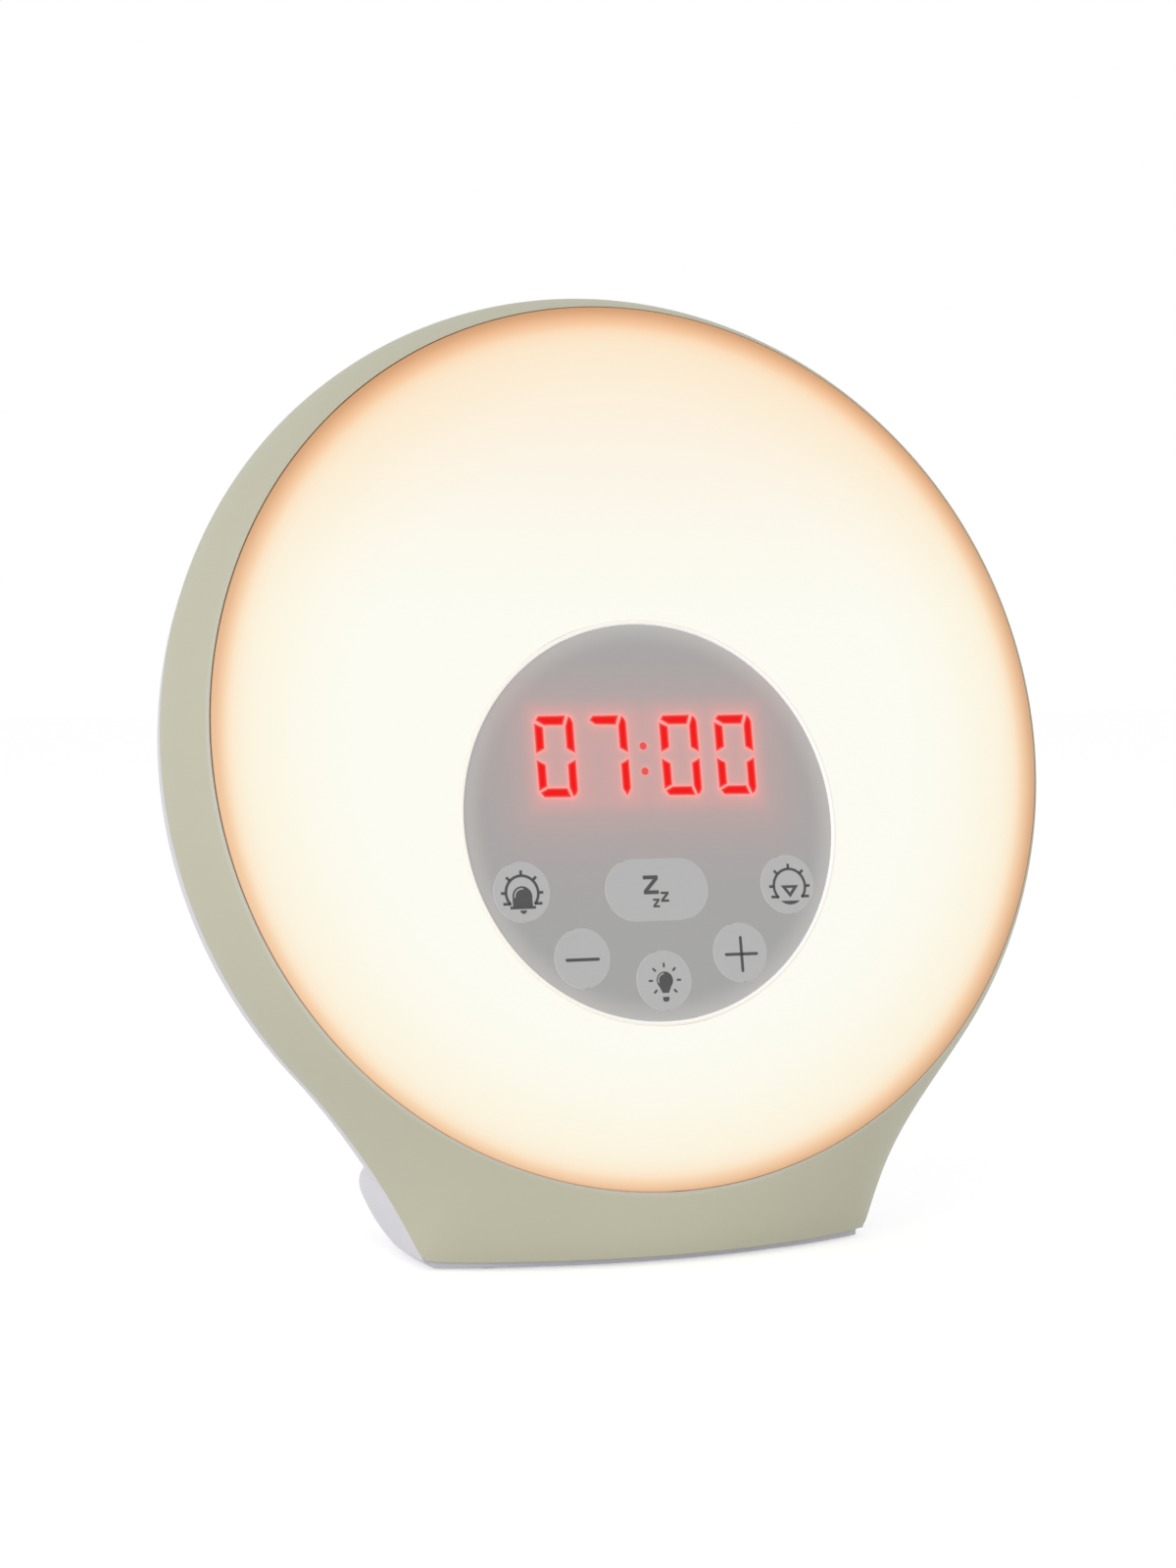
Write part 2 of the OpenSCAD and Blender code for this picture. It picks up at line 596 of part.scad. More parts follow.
module control_panel() color([0.68, 0.68, 0.7]) leaning() at_panel() difference() {
    rod(panel_r, -panel_set, -panel_back);
    for (name = key_names) translate(key_place(name)) translate([0, 0, -panel_back - past])
        linear_extrude(panel_t + 2 * past) key_outline(name, key_gap);
}
// Panel housing: a cup that keeps the lamp's light away from the display
housing_inner_r = panel_r + 0.7;
housing_outer_r = trim_r + trim_flange;
housing_floor_t = 1.6;
housing_floor = reflector_floor - housing_floor_t;
housing_boss_h = 3;
control_r = housing_inner_r - control_gap;
module panel_housing() color("white") leaning() at_panel() difference() {
    union() {
        difference() {
            rod(housing_outer_r, -trim_back, -reflector_floor);
            rod(housing_inner_r, 0, -housing_floor);
        }
        tube(housing_inner_r + sink, panel_r - 0.6, -panel_back, -trim_back - past);
        control_screw_places() rod(small_screw_r + boss_wall, -control_back, -housing_floor - sink);
        housing_screw_places()
            rod(small_screw_r + boss_wall, -housing_floor + housing_boss_h, -housing_floor - sink);
    }
    tube(housing_outer_r + past, panel_r + seat_gap / 2, past, -trim_back);
    control_screw_places() rod(small_screw_r + screw_gap, 0, -control_screw_tip - tip_gap);
    housing_screw_places() rod(small_screw_r + screw_gap, -housing_screw_tip + tip_gap, -cover_depth);
    ribbon_slot();
}
control_back = control_depth + board_t;
control_screw_tip = housing_floor - 0.8;
housing_screw_tip = housing_floor - 1.6;
ribbon_drop = 22;
// Opening for the ribbon cable in the two floors behind the control board
ribbon_step = 4;
module ribbon_slot() translate([0, -ribbon_drop - ribbon_step / 2, 0])
    plate([ribbon_w + 2, ribbon_step + 3 * ribbon_t], -housing_floor + past, -reflector_back - past);
control_screw_in = 3.6;
control_screw_orbit = control_r - control_screw_in;
control_screws = [[0, control_screw_orbit], [control_screw_orbit, 0], [-control_screw_orbit, 0]];
housing_screws = [[22, 22], [-22, 22], [24, -20], [-24, -20]];
module control_screw_places() for (p = control_screws) translate(p) children();
module housing_screw_places() for (p = housing_screws) translate(p) children();

module switch_bodies() color([0.16, 0.16, 0.17]) for (name = key_names) at_key(name) difference() {
    plate([switch_w, switch_w], -control_depth, -control_depth + switch_h);
    rod(plunger_r + plunger_gap, -control_depth + switch_floor_t, 0);
}
module control_board() color([0.12, 0.4, 0.2]) leaning() at_panel() difference() {
    rod(control_r, -control_depth, -control_back);
    control_screw_places() rod(small_screw_r + screw_gap, 0, -housing_floor);
    display_pin_places() rod(pin_r + screw_gap, 0, -housing_floor);
}

// Display: a case with light pipes in the shape of seven-segment digits
module at_display() leaning() at_panel() translate([display_right, display_rise, 0]) children();
display_front = panel_back + seat_gap;
display_back = display_front + display_d;
digit_x = [for (i = [0:3]) (i - 1.5) * digit_pitch + (i < 2 ? -1 : 1) * colon_space / 2];
// A straight segment with pointed ends, centred, along X
module segment(len) {
    half = len / 2 - segment_gap;
    polygon([[-half, 0], [-half + stroke_w / 2, stroke_w / 2], [half - stroke_w / 2, stroke_w / 2],
        [half, 0], [half - stroke_w / 2, -stroke_w / 2], [-half + stroke_w / 2, -stroke_w / 2]]);
}
run_x = digit_w - stroke_w;
run_y = (digit_h - stroke_w) / 2;
// Segments a to g: centre and turn
segment_spots = [[[0, run_y], 0], [[run_x / 2, run_y / 2], 90], [[run_x / 2, -run_y / 2], 90],
    [[0, -run_y], 0], [[-run_x / 2, -run_y / 2], 90], [[-run_x / 2, run_y / 2], 90], [[0, 0], 0]];
lit = [[0, 1, 2, 3, 4, 5], [0, 1, 2], [0, 1, 2, 3, 4, 5], [0, 1, 2, 3, 4, 5]];
function is_lit(digit, s) = len(search(s, lit[digit])) > 0;
module segments(want_lit, grow) for (digit = [0:3]) for (s = [0:6])
    if (is_lit(digit, s) == want_lit) translate([digit_x[digit], 0]) translate(segment_spots[s][0])
        rotate(segment_spots[s][1]) segment(segment_spots[s][1] == 0 ? run_x : run_y);
module pipe(depth) translate([0, 0, -display_front - depth]) linear_extrude(depth) children();
module colon() for (s = [-1, 1]) translate([-colon_shift, s * colon_pitch / 2 - colon_shift]) circle(colon_r);
module display_case() color([0.8, 0.8, 0.82]) at_display() difference() {
    plate([display_w, display_h], -display_front, -display_back);
    translate([0, 0, past]) pipe(segment_d + past) {
        segments(true);
        segments(false);
        colon();
    }
}
module lit_segments() color([1, 0.1, 0.1]) at_display() pipe(segment_d) segments(true);
module dark_segments() color([0.75, 0.72, 0.72]) at_display() pipe(segment_d) segments(false);
module colon_dots() color([0.9, 0.3, 0.3]) at_display() pipe(segment_d) colon();
pin_r = 0.3;
pin_pitch = 2.54;
pin_out = 1.2;
pins_a_row = 6;
pin_rows = 6 * pin_pitch;
module display_pin_places() translate([display_right, display_rise, 0])
    for (i = [0:pins_a_row - 1]) for (s = [-1, 1])
        translate([(i - (pins_a_row - 1) / 2) * pin_pitch, s * pin_rows / 2, 0]) children();
module display_pins() color("silver") leaning() at_panel() display_pin_places()
    rod(pin_r, -display_back, -control_back - pin_out);

// Ring board with its lamps, on the reflector's floor
ring_front = reflector_floor - board_t;
ring_screw_angles = [35, 145, 215, 325];
module ring_screw_places() for (a = ring_screw_angles)
    rotate(a) translate([ring_in_r + small_head_r + head_gap, 0, 0]) children();
led_orbit = ring_out_r - led_w;
led_h = 2.8;
module ring_board() color([0.95, 0.95, 0.95]) leaning() difference() {
    tube(ring_out_r, ring_in_r, -ring_front, -reflector_floor);
    ring_screw_places() rod(small_screw_r + screw_gap, 0, -cover_depth);
}
module lamps() color([1, 0.9, 0.6]) leaning() for (i = [0:led_count - 1])
    rotate(360 * i / led_count) translate([led_orbit, 0, 0])
        plate([led_w, led_h], -ring_front, -ring_front + led_t);

// Main board, low in the rear cover, on posts
main_back = cover_inner - main_post;
main_front = main_back - board_t;
main_screws = [[-1, -1], [-1, 1], [1, -1], [1, 1]];
main_screw_inset = 4;
main_drop = panel_drop + main_low;
module at_main() leaning() translate([0, -main_drop, 0]) children();
module main_screw_places() for (c = main_screws) translate([c.x * (main_w / 2 - main_screw_inset),
    c.y * (main_h / 2 - main_screw_inset) - main_drop, 0]) children();
module main_board() color([0.1, 0.35, 0.18]) leaning() difference() {
    translate([0, -main_drop, 0]) plate([main_w, main_h], -main_front, -main_back);
    main_screw_places() rod(small_screw_r + screw_gap, 0, -cover_depth);
}
// Chips: place on the board, then width, height and thickness
chip_list = [[[4, -6], [10, 10, 1.4]], [[-14, -9], [5, 6, 1.6]], [[20, -9], [6, 5, 1.6]],
    [[-14, 2], [4, 3, 1.2]]];
module chips() color([0.1, 0.1, 0.11]) at_main() for (c = chip_list)
    translate(c[0]) plate(c[1], -main_front, -main_front + c[1].z);
capacitor_r = 2.1;
capacitor_h = 8;
capacitor_spots = [[-28, -8], [30, -2]];
module capacitors() color([0.25, 0.28, 0.4]) at_main() for (p = capacitor_spots)
    translate([p.x, p.y, -main_front + capacitor_r]) rotate([-90, 0, 0])
        cylinder(r = capacitor_r, h = capacitor_h);

// Connectors: the ribbon's pair, and one each for the lamps and the speaker
connector_t = 2.8;
connector_h = 4.5;
ribbon_top = control_back + connector_t;
ribbon_end = main_front - connector_t;
lamp_plug = [24, 13];
speaker_plug = [-24, 13];
plug_w = 7;
module ribbon_plug() plate([ribbon_w + 2, connector_h], 0, connector_t);
main_ribbon_v = -panel_drop - ribbon_drop - ribbon_step;
module connectors() color([0.9, 0.88, 0.8]) {
    leaning() at_panel() translate([0, -ribbon_drop, -ribbon_top]) ribbon_plug();
    leaning() translate([0, main_ribbon_v, -main_front]) ribbon_plug();
    at_main() for (p = [lamp_plug, speaker_plug]) translate(p)
        plate([plug_w, connector_h], -main_front, -ribbon_end);
}
// The ribbon leaves the control board's plug and bends once to the main board's plug
ribbon_steps = 16;
ribbon_path = [for (i = [0:ribbon_steps]) let (f = i / ribbon_steps)
    [-ribbon_top - f * (ribbon_end - ribbon_top), -ribbon_step * (1 - cos(180 * f)) / 2]];
ribbon_side = [0, ribbon_t / 2];
module ribbon_cable() color([0.75, 0.75, 0.78]) leaning() at_panel()
    translate([ribbon_w / 2, -ribbon_drop, 0]) rotate([0, -90, 0]) linear_extrude(ribbon_w)
        polygon(concat([for (p = ribbon_path) p + ribbon_side],
            [for (p = reversed(ribbon_path)) p - ribbon_side]));

// A round wire through a list of points, with each bend rounded
wire_sides = 10;
bend_steps = 4;
function unit(d) = d / norm(d);
function bend(a, b, c, r) = let (p = b + unit(a - b) * r, q = b + unit(c - b) * r)
    [for (i = [0:bend_steps]) let (f = i / bend_steps)
        pow(1 - f, 2) * p + 2 * f * (1 - f) * b + pow(f, 2) * q];
function rounded(points, r) = concat([points[0]], [for (i = [1:len(points) - 2])
    each bend(points[i - 1], points[i], points[i + 1], r)], [points[len(points) - 1]]);
// Side directions of the wire at each point, carried along so that it doesn't twist
function carried(side, way) = unit(side - (side * way) * way);
function sides(ways, i = 0, side = [1, 0.3, 0]) = i == len(ways) ? []
    : let (s = carried(side, ways[i])) concat([s], sides(ways, i + 1, s));
module wire(points, r, bend_r) {
    path = rounded(points, bend_r);
    last = len(path) - 1;
    ways = [for (i = [0:last]) unit(path[min(i + 1, last)] - path[max(i - 1, 0)])];
    side = sides(ways);
    loft([for (i = [0:last]) [for (k = [0:wire_sides - 1]) let (a = -360 * k / wire_sides)
        path[i] + r * (cos(a) * side[i] + sin(a) * cross(ways[i], side[i]))]]);
}
// The lamps' wires pass the reflector through a hole beside the panel housing
wire_bend = 1.2;
wire_split = wire_r + head_gap;
wire_lane = reflector_back + wire_r + 4 * seat_gap;
wire_arch = 2.4;
wire_lead = 10;
wire_hole_angle = 331;
wire_hole_r = ring_in_r - 2.5;
wire_hole_dir = [cos(wire_hole_angle), sin(wire_hole_angle)];
module wire_hole() translate(wire_hole_r * wire_hole_dir) children();
module lamp_wires() color([0.8, 0.2, 0.15]) leaning() for (s = [-1, 1]) {
    shift = s * wire_split * [wire_hole_dir.y, -wire_hole_dir.x];
    start = [lamp_plug.x, lamp_plug.y - main_drop - s * (wire_split + 2 * seat_gap)];
    hole = wire_hole_r * wire_hole_dir + shift;
    pad = (ring_in_r + 2) * wire_hole_dir + shift;
    wire([[start.x, start.y, -ribbon_end], [start.x, start.y, -wire_lane], [hole.x, hole.y, -wire_lane],
        [hole.x, hole.y, -ring_front + wire_arch], [pad.x, pad.y, -ring_front + wire_arch],
        [pad.x, pad.y, -ring_front]], wire_r, wire_bend);
}
module speaker_wires() color([0.2, 0.2, 0.22]) leaning() for (s = [-1, 1]) {
    start = [speaker_plug.x + s * 1.5, speaker_plug.y - main_drop];
    end = [-coil_r + s * 2, speaker_rise - basket_r + 3];
    wire([[start.x, start.y, -ribbon_end], [start.x, start.y, -wire_lane],
        [end.x, end.y - wire_lead, -wire_lane], [end.x, end.y, -wire_lane],
        [end.x, end.y, -basket_front]], wire_r, wire_bend);
}

// Speaker behind the grille: frame, magnet, cone and coil share one axis
speaker_r = cone_r + speaker_rim;
speaker_flange = 1.2;
basket_t = 0.8;
magnet_front = speaker_face - speaker_d;
basket_front = magnet_front + magnet_t;
basket_r = cone_r - 3;
ear_r = 3;
module at_speaker() leaning() translate([0, speaker_rise, 0]) children();
speaker_screw_orbit = speaker_r + 2;
module speaker_screw_places() translate([0, speaker_rise, 0])
    for (a = [45:90:315]) rotate(a) translate([speaker_screw_orbit, 0, 0]) children();
module speaker_frame() color([0.55, 0.56, 0.58]) leaning() difference() {
    union() {
        translate([0, speaker_rise, 0]) rotate_extrude() polygon([
            [speaker_r, -speaker_face], [cone_r + cone_gap, -speaker_face],
            [cone_r + cone_gap, -speaker_face + speaker_flange],
            [basket_r - basket_t, -basket_front - basket_t], [pole_hole_r, -basket_front - basket_t],
            [pole_hole_r, -basket_front], [basket_r, -basket_front],
            [speaker_r, -speaker_face + speaker_flange]]);
        speaker_screw_places() rod(ear_r, -speaker_face, -speaker_face + speaker_flange);
    }
    speaker_screw_places() rod(small_screw_r + screw_gap, 0, -cover_depth);
}
module speaker_gasket() color([0.2, 0.2, 0.2]) at_speaker()
    tube(speaker_r - 0.8, cone_r + cone_gap, -cover_inner, -speaker_face);
cone_gap = 0.4;
coil_t = 0.5;
pole_hole_r = coil_r + 4 * cone_gap;
coil_gap = 0.35;
pole_floor = 0.8;
module speaker_magnet() color([0.3, 0.3, 0.33]) at_speaker() difference() {
    rod(magnet_r, -magnet_front, -basket_front);
    tube(coil_r + coil_gap, coil_r - coil_t - coil_gap, -magnet_front - pole_floor, -basket_front - past);
}
cone_t = 0.5;
cone_edge = 2;
cone_back = basket_front + cone_travel + 0.6;
cone_rim = speaker_face - cone_travel - 0.2;
module speaker_cone() color([0.15, 0.15, 0.16]) at_speaker() rotate_extrude() polygon([
    [0, -cone_back - 0.9 - cone_t], [coil_r, -cone_back - cone_t], [cone_r - cone_edge, -cone_rim],
    [cone_r, -cone_rim], [cone_r, -cone_rim + cone_t], [cone_r - cone_edge, -cone_rim + cone_t],
    [coil_r, -cone_back], [0, -cone_back - 0.9]]);
module voice_coil() color([0.7, 0.4, 0.2]) at_speaker()
    tube(coil_r, coil_r - coil_t, -cone_back, -magnet_front - pole_floor - cone_travel - cone_gap);

// Power inlet at the back of the main board
inlet_left = main_w / 2 - inlet_in;
inlet_drop = main_drop + inlet_low;
inlet_gap = 0.2;
inlet_mouth = cover_depth - inlet_gap;
inlet_floor = main_back + 1;
module at_inlet() leaning() translate([-inlet_left, -inlet_drop, 0]) children();
module inlet_socket() color([0.12, 0.12, 0.13]) at_inlet() difference() {
    plate([inlet_w, inlet_w], -main_back, -inlet_mouth);
    rod(inlet_r, -inlet_floor, -inlet_mouth - past);
}
module inlet_pin() color("silver") at_inlet()
    rod(inlet_pin_r, -inlet_floor, -inlet_mouth + 0.8);

// Small screws: head behind or in front of what they hold
module small_screw(head_from, head_dir, tip) {
    rod(small_head_r, head_from, head_from + head_dir * small_head_t);
    rod(small_screw_r, head_from, tip);
}
module control_board_screws() color("silver") leaning() at_panel() control_screw_places()
    small_screw(-control_depth, 1, -control_screw_tip);
module panel_housing_screws() color("silver") leaning() at_panel() housing_screw_places()
    small_screw(-reflector_back, -1, -housing_screw_tip);
module ring_board_screws() color("silver") leaning() ring_screw_places()
    small_screw(-ring_front, 1, -reflector_back);
module main_board_screws() color("silver") leaning() main_screw_places()
    small_screw(-main_front, 1, -cover_inner + seat_gap);
module speaker_screws() color("silver") leaning() speaker_screw_places()
    small_screw(-speaker_face + speaker_flange, 1, -cover_inner + seat_gap);

front_housing();
rear_cover();
rear_foot();
base_plate();
foot_pads();
diffuser();
reflector();
trim_ring();
control_panel();
panel_housing();
keycap("alarm");  // key_alarm
keycap("sunset");  // key_sunset
keycap("snooze");  // key_snooze
keycap("minus");  // key_minus
keycap("light");  // key_light
keycap("plus");  // key_plus
plunger("alarm");  // plunger_alarm
plunger("sunset");  // plunger_sunset
plunger("snooze");  // plunger_snooze
plunger("minus");  // plunger_minus
plunger("light");  // plunger_light
plunger("plus");  // plunger_plus
switch_bodies();
control_board();
display_case();
lit_segments();
dark_segments();
colon_dots();
display_pins();
ring_board();
lamps();
main_board();
chips();
capacitors();
connectors();
inlet_socket();
inlet_pin();
speaker_frame();
speaker_magnet();
speaker_gasket();
speaker_cone();
voice_coil();
ribbon_cable();
lamp_wires();
speaker_wires();
cover_screws();
base_screws();
panel_housing_screws();
control_board_screws();
ring_board_screws();
main_board_screws();
speaker_screws();
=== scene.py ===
"""Sunrise alarm clock: the looks of the lamp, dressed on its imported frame.

Shapes are drawn in millimetres. Pieces of the head use the face's own frame: u to the
right, v up the face and w out of it, with zero at the front of the trim ring.
"""

import math

import bmesh
import bpy
from mathutils import Matrix, Vector


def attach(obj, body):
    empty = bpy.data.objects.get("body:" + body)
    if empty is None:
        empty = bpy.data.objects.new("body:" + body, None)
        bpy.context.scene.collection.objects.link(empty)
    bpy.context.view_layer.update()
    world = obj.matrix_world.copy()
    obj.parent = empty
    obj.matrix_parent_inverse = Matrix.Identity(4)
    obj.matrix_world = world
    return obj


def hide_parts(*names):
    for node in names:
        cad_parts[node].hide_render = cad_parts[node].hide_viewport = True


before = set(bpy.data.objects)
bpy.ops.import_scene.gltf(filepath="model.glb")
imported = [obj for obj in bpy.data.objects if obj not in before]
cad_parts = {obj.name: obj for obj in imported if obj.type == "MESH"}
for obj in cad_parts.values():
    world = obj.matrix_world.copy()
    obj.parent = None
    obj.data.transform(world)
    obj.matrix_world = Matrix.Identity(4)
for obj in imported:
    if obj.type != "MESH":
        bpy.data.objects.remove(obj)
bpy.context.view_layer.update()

# ---------------------------------------------------------------- camera and studio

# Low at the lamp's left, in metres: where the camera stands and what it is turned to
CAMERA_AT, CAMERA_TO = Vector((-0.2315, -0.5365, 0.1074)), Vector((-0.01163, -0.017, 0.08632))
LENS, SENSOR = 71.325, 36

camera = bpy.data.objects.new("camera", bpy.data.cameras.new("camera"))
camera.data.lens, camera.data.sensor_width = LENS, SENSOR
camera.location = CAMERA_AT
camera.rotation_euler = (CAMERA_TO - CAMERA_AT).to_track_quat("-Z", "Y").to_euler()
bpy.context.scene.collection.objects.link(camera)
bpy.context.scene.camera = camera
bpy.context.scene.view_settings.view_transform = "Standard"


def colour(code):
    """Linear red, green, blue and alpha of an sRGB hex colour."""
    parts = [int(code[i:i + 2], 16) / 255 for i in (0, 2, 4)]
    return [p / 12.92 if p <= 0.04045 else ((p + 0.055) / 1.055) ** 2.4 for p in parts] + [1]


def add(tree, kind, inputs=None, stops=None, **settings):
    """Adds a node. Inputs are values or sockets by name or number, stops fill a colour ramp."""
    node = tree.nodes.new("ShaderNode" + kind)
    for name, value in settings.items():
        setattr(node, name, value)
    for name, value in (inputs or {}).items():
        if isinstance(value, bpy.types.NodeSocket):
            tree.links.new(value, node.inputs[name])
        else:
            node.inputs[name].default_value = value
    for i, (position, code) in enumerate(stops or []):
        elements = node.color_ramp.elements
        stop = elements[i] if i < len(elements) else elements.new(position)
        stop.position, stop.color = position, colour(code)
    return node


def studio_white(tree):
    """1 for what the camera, a glossy face or clear plastic sees, 0 for light on the lamp."""
    path = add(tree, "LightPath")
    seen = add(tree, "Math", {0: path.outputs["Is Camera Ray"], 1: path.outputs["Is Glossy Ray"]},
               operation="MAXIMUM")
    return add(tree, "Math", {0: seen.outputs[0], 1: path.outputs["Is Transmission Ray"]},
               operation="MAXIMUM").outputs[0]


# The room's light from the sides and from overhead, and what the floor adds to it for the camera
ROOM_LOW, ROOM_HIGH, FLOOR_GLOW, FLOOR_HALF = 0.77, 0.46, 0.52, 6
# A wide soft lamp low at the left and a weak one at the right: watts, width and place in metres
STUDIO_LAMPS = (("lamp_at_left", 9.5, 1.3, (-1.45, -0.9, 0.4)),
                ("lamp_at_right", 2.5, 1.5, (1.2, -1.2, 0.5)))
LAMPS_TO = Vector((0, 0, 0.09))


def white_room():
    """A white world, a tone darker overhead."""
    world = bpy.data.worlds.new("studio")
    bpy.context.scene.world = world
    world.use_nodes = True
    tree = world.node_tree
    background = tree.nodes["Background"]
    way = add(tree, "SeparateXYZ", {0: add(tree, "TexCoord").outputs["Generated"]}).outputs["Z"]
    level = add(tree, "MapRange", {"Value": way, "To Min": ROOM_LOW, "To Max": ROOM_HIGH}).outputs[0]
    room = add(tree, "MapRange", {"Value": studio_white(tree), "To Min": level, "To Max": 1})
    tree.links.new(room.outputs["Result"], background.inputs["Strength"])
    background.inputs["Color"].default_value = (1, 1, 1, 1)


def studio_lamp(name, watts, size, spot):
    light = bpy.data.objects.new(name, bpy.data.lights.new(name, "AREA"))
    light.data.shape, light.data.size, light.data.energy = "DISK", size, watts
    light.location = spot
    light.rotation_euler = (LAMPS_TO - light.location).to_track_quat("-Z", "Y").to_euler()
    bpy.context.scene.collection.objects.link(light)


def studio_floor():
    """A plain pale floor that keeps the lamp's shadow and is white to the camera elsewhere."""
    material = bpy.data.materials.new("pale_studio_floor")
    material.use_nodes = True
    tree = material.node_tree
    shader = tree.nodes["Principled BSDF"]
    shader.inputs["Base Color"].default_value = colour("ececec")
    shader.inputs["Roughness"].default_value = 0.9
    shader.inputs["Specular IOR Level"].default_value = 0
    glow = add(tree, "MapRange", {"Value": studio_white(tree), "To Min": 0, "To Max": FLOOR_GLOW})
    shader.inputs["Emission Color"].default_value = (1, 1, 1, 1)
    tree.links.new(glow.outputs["Result"], shader.inputs["Emission Strength"])
    bm = bmesh.new()
    bmesh.ops.create_grid(bm, x_segments=1, y_segments=1, size=FLOOR_HALF)
    mesh = bpy.data.meshes.new("floor")
    bm.to_mesh(mesh)
    bm.free()
    floor = bpy.data.objects.new("floor", mesh)
    mesh.materials.append(material)
    bpy.context.scene.collection.objects.link(floor)


white_room()
for lamp in STUDIO_LAMPS:
    studio_lamp(*lamp)
studio_floor()

# ---------------------------------------------------------------- sizes of the body

# The face leans back. Its frame stands on its middle, and the panel's frame lies below it
LEAN = math.radians(11)
FACE_R, LIP_R, LIP_W = 82.5, 82.2, -0.8
FACE_Y, FACE_Z = -17, 13.3 + FACE_R * math.cos(LEAN)
FACE = Matrix.Translation((0, FACE_Y, FACE_Z)) @ Matrix.Rotation(math.pi / 2 - LEAN, 4, "X")
TABLE = Matrix.Identity(4)
PANEL_DROP, RISE = 15, 12.15  # the panel's middle under the face's, the display's over the panel's
PANEL = FACE @ Matrix.Translation((0, -PANEL_DROP, 0))
# Housing: head, wall and base, then the rear foot and the cover's lower edge over it
SHELL_R, SHELL_DEPTH, WALL = 87.1, 15.9, 2.4
BASE_HALF, BASE_BOW, NECK_R, SKIRT_Z = 44.3, 10.9, 127, 1.6
FOOT_Z, FOOT_LEN, FOOT_TUCK, FOOT_CROWN, COVER_BOTTOM = 15.4, 48.5, 11, 6.5, 15.5


def limited(x):
    return min(1, max(0, x))


def toward(angle, r=1.0):
    """The flat vector of length r at an angle in degrees."""
    a = math.radians(angle)
    return Vector((r * math.cos(a), r * math.sin(a)))


def v_at(z, w):
    """Height up the face of a point at height z over the table and depth w."""
    return (z - FACE_Z - w * math.sin(LEAN)) / math.cos(LEAN)


def y_on(v, w):
    """Distance back on the table of a point at height v up the face and depth w."""
    return FACE_Y + v * math.sin(LEAN) - w * math.cos(LEAN)


def bow(x, half, sag):
    """Height of a shallow arc over its chord."""
    r = (half * half + sag * sag) / (2 * sag)
    return math.sqrt(r * r - x * x) - (r - sag)


# The head is a circle, and two hollow arcs join it to the corners of the base
CORNER = Vector((BASE_HALF, v_at(SKIRT_Z, -SHELL_DEPTH)))
CORNER_Y = y_on(CORNER.y, -SHELL_DEPTH)
REACH = SHELL_R + NECK_R
NECK_ANGLE = (math.atan2(-CORNER.y, CORNER.x)
              - math.acos((REACH ** 2 + CORNER.length ** 2 - NECK_R ** 2) / (2 * REACH * CORNER.length)))
NECK = Vector((REACH * math.cos(NECK_ANGLE), -REACH * math.sin(NECK_ANGLE)))
# Shares of the way round at which the head, the left neck and the base's front end
HEAD_END, LEFT_END, BASE_END = 0.66, 0.75, 0.91


def neck_u(v, inset=0.0):
    """Half width of the body between the head and the base, at height v."""
    return NECK.x - math.sqrt((NECK_R + inset) ** 2 - (v - NECK.y) ** 2)


def outline(s, inset, low):
    """Point of the body's outline at share s of the way round, over a line at height low. Its
    third number is 1 on that line and 0 elsewhere."""
    r, s = SHELL_R - inset, s % 1
    if s <= HEAD_END:
        a = -NECK_ANGLE + s / HEAD_END * (math.pi + 2 * NECK_ANGLE)
        return Vector((r * math.cos(a), r * math.sin(a), 0))
    top = -r * math.sin(NECK_ANGLE)
    if s <= LEFT_END:
        v = top + (s - HEAD_END) / (LEFT_END - HEAD_END) * (low - top)
        return Vector((-neck_u(v, inset), v, 0))
    if s <= BASE_END:
        return Vector((neck_u(low, inset) * (2 * (s - LEFT_END) / (BASE_END - LEFT_END) - 1), low, 1))
    v = low + (s - BASE_END) / (1 - BASE_END) * (top - low)
    return Vector((neck_u(v, inset), v, 0))


def housing_edge(s, inset=0.0):
    """Back edge of the front housing: level round the head, bowed forward along the base."""
    p = outline(s, inset, CORNER.y)
    if p.z == 0:
        return Vector((p.x, p.y, -SHELL_DEPTH))
    y = CORNER_Y - bow(p.x, neck_u(CORNER.y, inset), BASE_BOW - inset) - FACE_Y
    z = SKIRT_Z - FACE_Z
    return Vector((p.x, y * math.sin(LEAN) + z * math.cos(LEAN), z * math.sin(LEAN) - y * math.cos(LEAN)))


def eased_edge(s, reach):
    """The same edge with the base's two corners rounded over a share reach of the way."""
    near = min(abs(s - LEFT_END), abs(s - BASE_END))
    if near > 3 * reach:
        return housing_edge(s)
    parts = [(w, housing_edge(s + k * reach)) for k, w in ((-1, 1), (-0.5, 4), (0, 6), (0.5, 4), (1, 1))]
    soft = sum((w * p for w, p in parts), Vector((0, 0, 0))) / 16
    return housing_edge(s).lerp(soft, limited(1.5 - near / (2 * reach)))


def on_ray(p, r, w):
    """The point at radius r and depth w in the direction of p."""
    d = Vector((p.x, p.y)).normalized() * r
    return Vector((d.x, d.y, w))


# ---------------------------------------------------------------- making pieces

MERGE = 0.0004  # points closer than this are one point


def verts_of(geom):
    return [g for g in geom if isinstance(g, bmesh.types.BMVert)]


def skin(around, rows):
    """A sheet of rings. Each row gives the point at a share of the way round."""
    bm = bmesh.new()
    bmesh.ops.create_grid(bm, x_segments=around, y_segments=len(rows) - 1, size=0.5)
    for vert in bm.verts:
        share, row = vert.co.x + 0.5, round((vert.co.y + 0.5) * (len(rows) - 1))
        vert.co = rows[row](share)
    bmesh.ops.remove_doubles(bm, verts=bm.verts, dist=MERGE)
    bmesh.ops.recalc_face_normals(bm, faces=bm.faces)
    return bm


